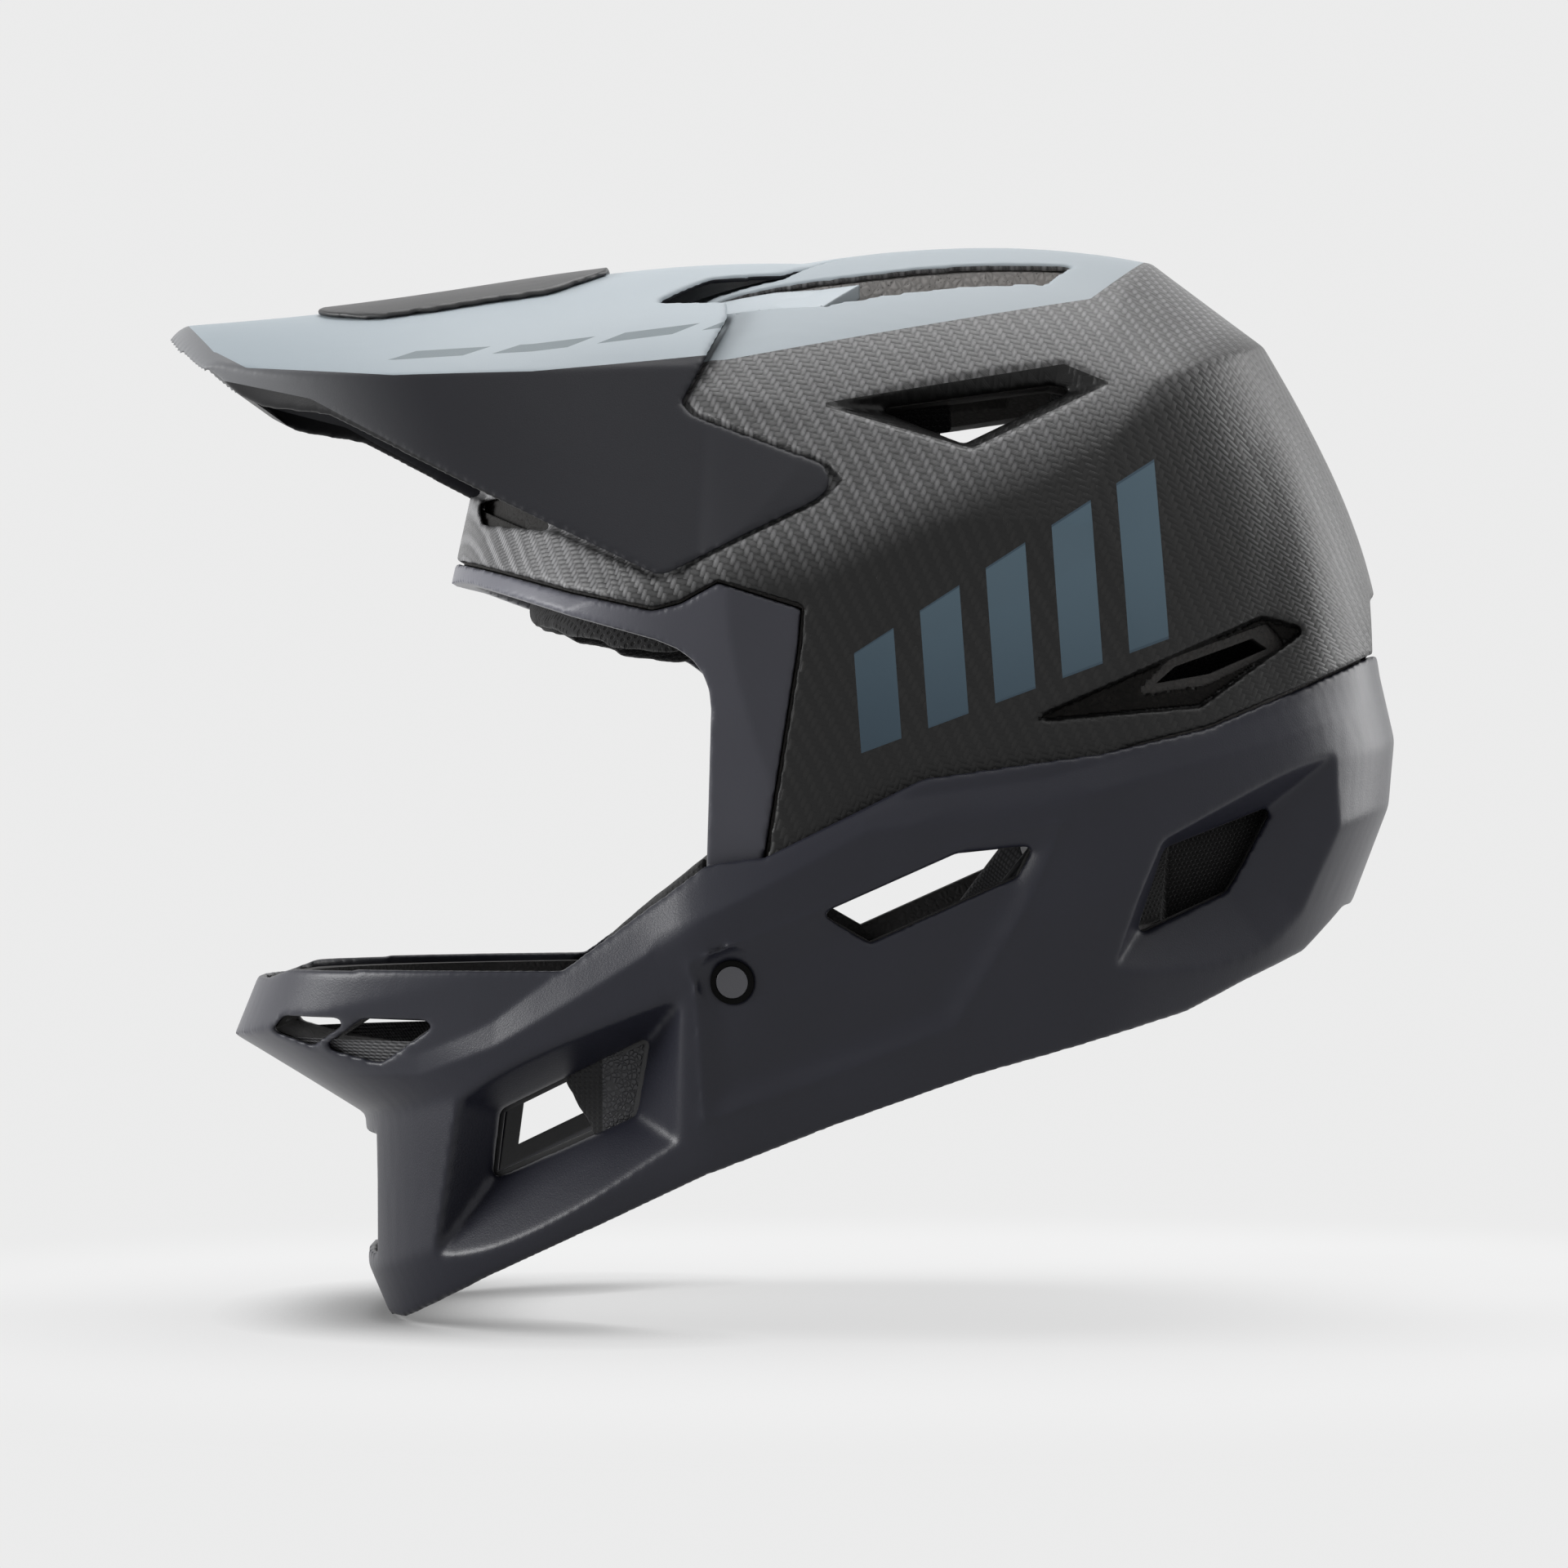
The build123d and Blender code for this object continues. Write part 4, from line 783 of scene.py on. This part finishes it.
def leaned(mesh):
    """The jaw shell's rim leans in above its crease, and its hollow fades in from its edge."""
    points = points_of(mesh)
    x, y, z = points.T
    over = np.clip(z - side_line(RIM_CREASE, x), 0, None)
    outer = smoothed((np.abs(y) - RIM_OUT) / RIM_WIDTH)
    shift = -np.minimum(over * RIM_SLOPE, by_length(RIM_LEAN, x)) * outer
    depth = inside_by(HOLLOW, x, z)
    from_screw = np.hypot(x - place_x(SCREW[0]), z - place_z(SCREW[1]))
    clear = smoothed((from_screw - SCREW_CLEAR) / SCREW_FADE)
    rise = HOLLOW_RISE * (1 - smoothed(depth / HOLLOW_FADE)) * (depth > 0) * clear * outer
    points[:, 1] += np.sign(y) * (shift + rise)
    near = (side_distance(HOLLOW, x, z) < RELAX_REACH) & (np.abs(y) > RELAX_OUT) & (clear > 0.9)
    set_points(mesh, relaxed(mesh, points, near))
    return mesh


# How far the peak's lip turns down and over what length, and the height above which it does, with its fade
LIP_DROP, LIP_LENGTH, LIP_FLOOR, LIP_FADE = 0.0042, 0.007, place_z(0.865), 0.008
# The corner of the peak's side, a point on each side that meets there, its radius and its reach
PEAK_CORNER = [(0.5633, 0.7688), (0.432, 0.828), (0.414, 0.685)]
CORNER_RADIUS, CORNER_REACH = 0.0065, 0.012


def nosed(mesh):
    """The peak's front edge turns down in a rounded lip, and the corners of its sides are rounded."""
    points = points_of(mesh)
    x, y, z = points.T
    back = x - (place_x(0.0) + NOSE_BACK * (y / NOSE_HALF) ** 2)
    drop = np.clip(1 - back / LIP_LENGTH, 0, 1) ** 2 * LIP_DROP
    points[:, 2] -= drop * smoothed((z - LIP_FLOOR) / LIP_FADE)
    # What lies past the corner's circle is drawn back onto it
    tip, above, below = (np.array((place_x(u), place_z(v))) for u, v in PEAK_CORNER)
    up, down = ((end - tip) / np.linalg.norm(end - tip) for end in (above, below))
    middle = (up + down) / np.linalg.norm(up + down)
    half = math.acos(float(up @ middle))
    centre = tip + middle * CORNER_RADIUS / math.sin(half)
    away = points[:, [0, 2]] - centre
    reach = np.linalg.norm(away, axis=1)
    past = (away @ -middle > math.sin(half) * reach) & (reach > CORNER_RADIUS) & (reach < CORNER_REACH)
    points[past, 0] = centre[0] + away[past, 0] / reach[past] * CORNER_RADIUS
    points[past, 2] = centre[1] + away[past, 1] / reach[past] * CORNER_RADIUS
    set_points(mesh, points)
    return mesh


crown_shell = new_piece(
    "carbon_crown_shell", flanked(remeshed("upper_shell", 0.0009, 7)), carbon, "helmet",
    ["upper_shell"]
)
new_piece(
    "painted_jaw_shell", leaned(remeshed("lower_shell", 0.0010, 10)), jaw_grey, "helmet",
    ["lower_shell"]
)
new_piece(
    "moulded_eyeport_frame", remeshed("eyeport_frame", 0.0009, 5), frame_grey, "helmet",
    ["eyeport_frame"]
)
new_piece(
    "two_tone_visor", nosed(remeshed("visor_peak", 0.0010, 6)), two_tone, "visor",
    ["visor_peak"]
)

# By share of the length: the drop of the spine's seen edge, and its solid's half width
SPINE_DROP = [(0.120, 0.0002), (0.140, 0.0022), (0.180, 0.0044), (0.317, 0.0042), (0.345, 0.0018),
              (0.362, 0.0004)]
SPINE_SOLID = [(0.125, 0.0155), (0.150, 0.0226), (0.335, 0.0250), (0.360, 0.0179)]
# Where the spine's width is worked out, at how many stations, how far out and in what steps it is looked
# for, and the height that rays start from
SPINE_FROM, SPINE_TO, SPINE_STATIONS = place_x(0.118), place_x(0.366), 40
SPINE_REACH, SPINE_STEP = 0.060, 0.0005
SKY = 0.3
peak_tree = tree_of("visor_peak")


def peak_height(x, y):
    hit = peak_tree.ray_cast(Vector((x, y, SKY)), Vector((0, 0, -1)))[0]
    return hit.z if hit else None


def spine_share(x):
    """The spine's half width at x as a share of its solid's, for an edge as low as it should be."""
    heights = [(w, peak_height(x, w)) for w in np.arange(0.0, SPINE_REACH, SPINE_STEP)]
    seen = [(w, (h - camera.location.z) * DISTANCE / (DISTANCE - w)) for w, h in heights if h]
    edge = max(h for _, h in seen) - by_length(SPINE_DROP, x)
    return next((w for w, h in seen if h < edge), seen[-1][0]) / by_length(SPINE_SOLID, x)


def spine_wedge():
    """The spine's mesh spread or narrowed over the peak, whose height it follows."""
    mesh = remeshed("visor_spine", 0.0009, 2)
    points = points_of(mesh)
    stations = np.linspace(SPINE_FROM, SPINE_TO, SPINE_STATIONS)
    shares = [spine_share(x) for x in stations]
    for point in points:
        share = np.interp(point[0], stations, shares)
        before, after = peak_height(point[0], point[1]), peak_height(point[0], point[1] * share)
        point[1] *= share
        if before and after:
            point[2] += after - before
    set_points(mesh, points)
    return mesh


# The ramps rise nearly to the shell, run on to the foam and tilt up towards the middle, and their rear ends
# are slanted
RAMP_RISE, RAMP_TILT = 0.0034, 0.20
RAMP_START, RAMP_STRETCH = place_x(0.445), 1.18
RAMP_REAR, RAMP_SLANT, RAMP_TRIM = place_x(0.50), 1.1, 0.0046


def long_ramps():
    mesh = nodes["vent_ramps"].data.copy()
    points = points_of(mesh)
    points[:, 0] = RAMP_START + (points[:, 0] - RAMP_START) * RAMP_STRETCH
    inward = np.abs(points[:, 1]).max() - np.abs(points[:, 1])
    rear = points[:, 0] > RAMP_REAR
    points[rear, 0] += RAMP_SLANT * inward[rear] - RAMP_TRIM
    points[:, 2] += RAMP_RISE + RAMP_TILT * inward
    set_points(mesh, points)
    mesh.shade_flat()
    return mesh


new_piece("spine_wedge", spine_wedge(), black_plastic, "visor", ["visor_spine"])
new_piece("blue_ramps", long_ramps(), ramp_blue, "helmet", ["vent_ramps"])

# How far a pad may swell towards the head, and how far it stays inside its solid elsewhere
HEAD_ROOM, SHELL_GAP = 0.004, 0.0001
PRESSURE, CLOTH_STEPS = 4.0, 20


def blown_up(trial):
    """The points of a trial object after the cloth solver has blown it up."""
    cloth = trial.modifiers.new("cloth", "CLOTH")
    cloth.settings.use_pressure = True
    cloth.settings.uniform_pressure_force = PRESSURE
    cloth.settings.effector_weights.gravity = 0.0
    cloth.point_cache.frame_end = CLOTH_STEPS
    for number in range(1, CLOTH_STEPS + 1):
        scene.frame_set(number)
    points = points_of(evaluated(trial))
    scene.frame_set(1)
    trial.modifiers.clear()
    return points


def cushion(name, node, material, voxel=0.005, shrink=0.0012, cap=0.005, shape=None):
    """A pad remeshed, blown up a little by the cloth solver, and kept off what it lies on."""
    trial = linked("trial", remeshed(node, voxel, 2))
    solid_points = points_of(nodes[node].data)
    if shape:
        set_points(trial.data, shape(points_of(trial.data)))
        solid_points = shape(solid_points)
    normals = normals_of(trial.data)
    start = points_of(trial.data) - normals * shrink
    set_points(trial.data, start)
    shift = np.zeros_like(start)
    shift = blown_up(trial) - start
    away = np.linalg.norm(shift, axis=1, keepdims=True)
    points = start + shift * np.minimum(1.0, cap / np.maximum(away, 1e-9))
    # What faces the shell stays inside the CAD pad, and what faces the head may swell
    solid = BVHTree.FromPolygons(solid_points.tolist(), [p.vertices for p in nodes[node].data.polygons])
    facing_head = (normals * start).sum(axis=1) < 0
    for i, point in enumerate(map(Vector, points)):
        near, normal = solid.find_nearest(point)[:2]
        over = (point - near).dot(normal)
        room = HEAD_ROOM if facing_head[i] and normal.dot(point) < 0 else -SHELL_GAP
        if over > room:
            points[i] = np.array(point - normal * (over - room))
    set_points(trial.data, points)
    fine = trial.modifiers.new("fine", "SUBSURF")
    fine.levels = fine.render_levels = 1
    mesh = taken(trial)
    mesh.shade_smooth()
    piece = new_piece(name, mesh, material, "helmet", [node])


# The neck roll swells between two lines of the side view
NECK_TOP = [(0.805, 0.430), (0.890, 0.480), (0.960, 0.520)]
NECK_UNDER = [(0.805, 0.350), (0.860, 0.370), (0.905, 0.400), (0.960, 0.430)]
NECK_RISE, NECK_REACH, NECK_FADE = 0.007, 0.0055, 0.020
# Where the cheek pads' fronts swell, how far forward, out and down, and how much further forward low down
PAD_FRONT, PAD_BEND, PAD_LOW, PAD_LOW_FADE = place_x(0.34), place_x(0.45), place_z(0.19), 0.035
PAD_REACH, PAD_OUT, PAD_DOWN, PAD_LOW_REACH = 0.003, 0.0035, 0.011, 0.004


def fuller_neck(points):
    """The neck roll swells up and forward over what its solid has."""
    x, y, z = points.T
    low, high = side_line(NECK_UNDER, x), side_line(NECK_TOP, x)
    up = np.clip((z - low) / (high - low), 0, 1)
    ahead = 1 - smoothed((x - place_x(NECK_TOP[0][0])) / NECK_FADE)
    return np.stack([x - NECK_REACH * ahead, y, z + NECK_RISE * up], axis=1)


def fuller_cheek(points):
    """The front of a cheek pad reaches further into the chin window."""
    x, y, z = points.T
    ahead = smoothed((PAD_BEND - x) / (PAD_BEND - PAD_FRONT))
    low = 1 - smoothed((z - PAD_LOW) / PAD_LOW_FADE)
    forward = ahead * (PAD_REACH + PAD_LOW_REACH * low)
    return np.stack([x - forward, y + np.sign(y) * PAD_OUT * ahead, z - PAD_DOWN * ahead * low], axis=1)


cushion("brow_cushion", "brow_pad", black_knit, voxel=0.0035, shrink=0.0004, cap=0.003)
cushion("crown_cushion", "crown_pad", black_knit, voxel=0.004)
cushion("nape_cushion", "rear_pad", black_knit)
for side in ("left", "right"):
    cushion(
        "cheek_cushion_" + side, "cheek_pad_" + side, cheek_cover, shrink=0.0004,
        shape=fuller_cheek
    )
cushion("neck_cushion", "neck_roll", neck_knit, voxel=0.004, shape=fuller_neck)

# Chin strap: flat webbing along the same path as its CAD solid
STRAP_TOP = Vector((place_x(0.725), 0, place_z(0.440)))
STRAP_LOW = Vector((place_x(0.620), 0, place_z(0.285)))
STRAP_WIDTH, STRAP_WALL = 0.020, 0.0016
# How far up its end runs past the solid's, how many points its path has, and where the rays that find them
# start: below the strap and aside of its middle
STRAP_END, STRAP_POINTS, RAY_BELOW, RAY_ASIDE = 0.012, 120, 0.02, 0.006
strap_down = (STRAP_LOW - STRAP_TOP).normalized()
strap_wide = strap_down.cross(Vector((0, 1, 0)))


def strap_path(node, sign):
    """Points along the middle of a strap's wall: how far across each one is, and how far down."""
    solid = tree_of(node)
    low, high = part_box(node)
    near, far = sorted((abs(low.y), abs(high.y)))
    reach = (STRAP_LOW - STRAP_TOP).length + RAY_BELOW
    path = []
    for share in np.linspace(0.004, 0.996, STRAP_POINTS):
        across = near + (far - near) * share
        below = STRAP_TOP + Vector((0, sign * across, 0)) + strap_down * reach + strap_wide * RAY_ASIDE
        first = solid.ray_cast(below, -strap_down)[0]
        if first is not None:
            path.append((across, (first - STRAP_TOP).dot(strap_down) - STRAP_WALL / 2))
    return path[:-2] + [(path[-1][0], min(down for _, down in path[-3:]) - STRAP_END)]


def strap(name, node, sign, material):
    """A band with thicker edges, drawn along the path of its solid."""
    path = strap_path(node, sign)
    half, wall = STRAP_WIDTH / 2, STRAP_WALL / 2
    profile = [(-half, 0), (-half + 0.0004, wall * 0.9), (-half + 0.0016, wall * 0.75), (0, wall * 0.72),
               (half - 0.0016, wall * 0.75), (half - 0.0004, wall * 0.9), (half, 0)]
    profile = profile + [(a, -b) for a, b in reversed(profile[1:-1])]
    vertices, faces = [], []
    for i, (across, down) in enumerate(path):
        before, after = path[max(i - 1, 0)], path[min(i + 1, len(path) - 1)]
        heading = Vector((after[0] - before[0], after[1] - before[1])).normalized()
        for wide, out in profile:
            a, d = across - heading.y * out, down + heading.x * out
            vertices.append(STRAP_TOP + strap_wide * wide + Vector((0, sign * a, 0)) + strap_down * d)
    count = len(profile)
    for i in range(len(path) - 1):
        for j in range(count):
            k = (j + 1) % count
            faces.append((i * count + j, i * count + k, (i + 1) * count + k, (i + 1) * count + j))
    faces.append(tuple(range(count)))
    faces.append(tuple(range((len(path) - 1) * count, len(path) * count)))
    mesh = bpy.data.meshes.new(name)
    mesh.from_pydata(vertices, [], faces)
    mesh.update()
    bm = bmesh.new()
    bm.from_mesh(mesh)
    bmesh.ops.recalc_face_normals(bm, faces=bm.faces)
    bm.to_mesh(mesh)
    bm.free()
    mesh.shade_smooth()
    new_piece(name, mesh, material, "helmet", [node])


strap_cloth = webbing_paint(tuple(strap_wide), (0.3, 1.0, 0.3))
strap("webbing_left", "strap_left", -1, strap_cloth)
strap("webbing_right", "strap_right", 1, strap_cloth)


def thickened(name, points, faces, wall):
    """A surface as a thin solid layer."""
    mesh = bpy.data.meshes.new(name)
    mesh.from_pydata(points, [], faces)
    trial = linked("trial", mesh)
    thick = trial.modifiers.new("thick", "SOLIDIFY")
    thick.thickness, thick.offset = wall, 0.0
    mesh = taken(trial)
    mesh.shade_smooth()
    return mesh


# The lining of the low vents: its outline in side view, its wall and how far off the shell its middle is
LINING = [(0.691, 0.5545), (0.875, 0.6478), (0.9105, 0.6375), (0.825, 0.5688)]
LINING_WALL, LINING_LIFT = 0.0004, 0.0003


def vent_lining(name, sign):
    """A thin layer of foam on the floor of a low vent's recess, round its slot, darker and duller than the
    other foam as painted shade.
    """
    shell = crown_shell.data
    points, normals = points_of(shell), normals_of(shell)
    x, y, z = points.T
    chosen = (inside_by(LINING, x, z) > 0) & (y * sign > 0.05) & (normals[:, 1] * sign > 0.5)
    index = np.cumsum(chosen) - 1
    rings = [p.vertices for p in shell.polygons if all(chosen[v] for v in p.vertices)]
    faces = [[int(index[v]) for v in ring] for ring in rings]
    lifted = (points[chosen] + normals[chosen] * LINING_LIFT).tolist()
    new_piece(name, thickened(name, lifted, faces, LINING_WALL), shaded_vent_foam, "helmet")


# The net behind the low vents: where it is in side view, its columns and rows, its wall and gap to the liner
NET_LENGTH, NET_HEIGHT = (0.755, 0.900), (0.566, 0.650)
NET_COLUMNS, NET_ROWS = 14, 9
NET_WALL, NET_GAP = 0.0008, 0.0006
liner_tree = tree_of("crown_liner")


def net(name, sign):
    """Black net over the inside of the crown liner."""
    low, high = (place_z(share) for share in NET_HEIGHT)
    points = []
    for x in np.linspace(*(place_x(share) for share in NET_LENGTH), NET_COLUMNS):
        ends = [liner_tree.ray_cast(Vector((x, 0, z)), Vector((0, sign, 0)))[0].y for z in (low, high)]
        for t in np.linspace(0, 1, NET_ROWS):
            points.append((x, ends[0] + (ends[1] - ends[0]) * t - sign * NET_GAP, low + (high - low) * t))
    corners = [i * NET_ROWS + j for i in range(NET_COLUMNS - 1) for j in range(NET_ROWS - 1)]
    faces = [(k, k + 1, k + NET_ROWS + 1, k + NET_ROWS) for k in corners]
    new_piece(name, thickened(name, points, faces, NET_WALL), black_knit, "helmet")


vent_lining("vent_lining_left", -1)
vent_lining("vent_lining_right", 1)
net("vent_net_left", -1)
net("vent_net_right", 1)


def grey(level):
    return (level, level, level, 1)


def node_in(tree, kind, **values):
    """A new node of a tree, with values for its inputs."""
    node = tree.nodes.new("ShaderNode" + kind)
    for name, value in values.items():
        node.inputs[name].default_value = value
    return node


def joined(tree, kind, *sources):
    """The output of a new node whose inputs are linked to some sources, in their order."""
    node = node_in(tree, kind)
    for source, socket in zip(sources, node.inputs):
        tree.links.new(source, socket)
    return node.outputs[0]


def direct_rays(tree):
    """1 for the rays of the camera, reflections and clear materials, which see the pale background."""
    path = tree.nodes.new("ShaderNodeLightPath")
    kinds = ("Is Camera Ray", "Is Glossy Ray", "Is Transmission Ray")
    camera_ray, glossy, clear = (Field(tree, path.outputs[kind]) for kind in kinds)
    return camera_ray.most(glossy).most(clear).socket


# Floor that fades into the plain background, with the object's contact shadow for the rays that see it
BACKGROUND = grey(0.836)
FLOOR_SIZE, FLOOR_GAP = 6.0, 0.0005
FADE_FROM, FADE_TO = 0.26, 0.42
CONTACT_REACH, CONTACT_POWER = 0.05, 2.0
floor_mesh = bpy.data.meshes.new("floor")
bm = bmesh.new()
bmesh.ops.create_grid(bm, x_segments=8, y_segments=8, size=FLOOR_SIZE)
bm.to_mesh(floor_mesh)
bm.free()
floor = linked("floor", floor_mesh)
floor.location.z = cad_box[0].z - FLOOR_GAP
floor_paint = bpy.data.materials.new("floor_pale")
floor_paint.use_nodes = True
tree = floor_paint.node_tree
tree.nodes.clear()
place = node_in(tree, "TexCoord")
length = node_in(tree, "VectorMath")
length.operation = "LENGTH"
tree.links.new(place.outputs["Object"], length.inputs[0])
fade = Field(tree, length.outputs["Value"]).ramp(FADE_FROM, FADE_TO)
contact = node_in(tree, "AmbientOcclusion", Distance=CONTACT_REACH)
glow = node_in(tree, "Emission", Color=grey(0.655))
tree.links.new(Field(tree, contact.outputs["AO"]).power(CONTACT_POWER).socket, glow.inputs["Strength"])
lit = node_in(tree, "BsdfDiffuse", Color=grey(0.50))
shaded = node_in(tree, "BsdfDiffuse", Color=grey(0.22))
plain = node_in(tree, "Emission", Color=BACKGROUND)
shadowed = joined(tree, "AddShader", shaded.outputs[0], glow.outputs[0])
seen_floor = joined(tree, "MixShader", direct_rays(tree), lit.outputs[0], shadowed)
faded = joined(tree, "MixShader", fade.socket, seen_floor, plain.outputs[0])
tree.links.new(faded, node_in(tree, "OutputMaterial").inputs["Surface"])
floor_mesh.materials.append(floor_paint)

# World: dim soft fill for the object, plain background for the rays that see it
world = bpy.data.worlds.new("studio")
scene.world = world
world.use_nodes = True
tree = world.node_tree
fill = tree.nodes["Background"]
fill.inputs["Color"].default_value = (0.55, 0.56, 0.58, 1)
fill.inputs["Strength"].default_value = 0.22
pale = node_in(tree, "Background", Color=BACKGROUND)
backdrop = joined(tree, "MixShader", direct_rays(tree), fill.outputs[0], pale.outputs[0])
tree.links.new(backdrop, tree.nodes["World Output"].inputs["Surface"])


def softbox(name, at, towards, width, height, power):
    data = bpy.data.lights.new(name, "AREA")
    data.shape = "RECTANGLE"
    data.size, data.size_y = width, height
    data.energy = power
    light = linked(name, data)
    light.location = at
    light.rotation_euler = (Vector(towards) - Vector(at)).to_track_quat("-Z", "Y").to_euler()


softbox("overhead", (0.18, 0.18, 1.25), (0, 0, 0), 1.4, 0.9, 13.5)
softbox("back_right", (1.25, 0.70, 0.40), (0.1, 0, 0), 0.9, 1.0, 10.5)
softbox("front_left", (-1.5, -0.20, 0.40), (-0.1, 0, 0), 0.9, 0.45, 18.0)
softbox("key", (0.10, -0.95, 1.05), (0.0, 0, 0), 1.2, 0.5, 0.8)
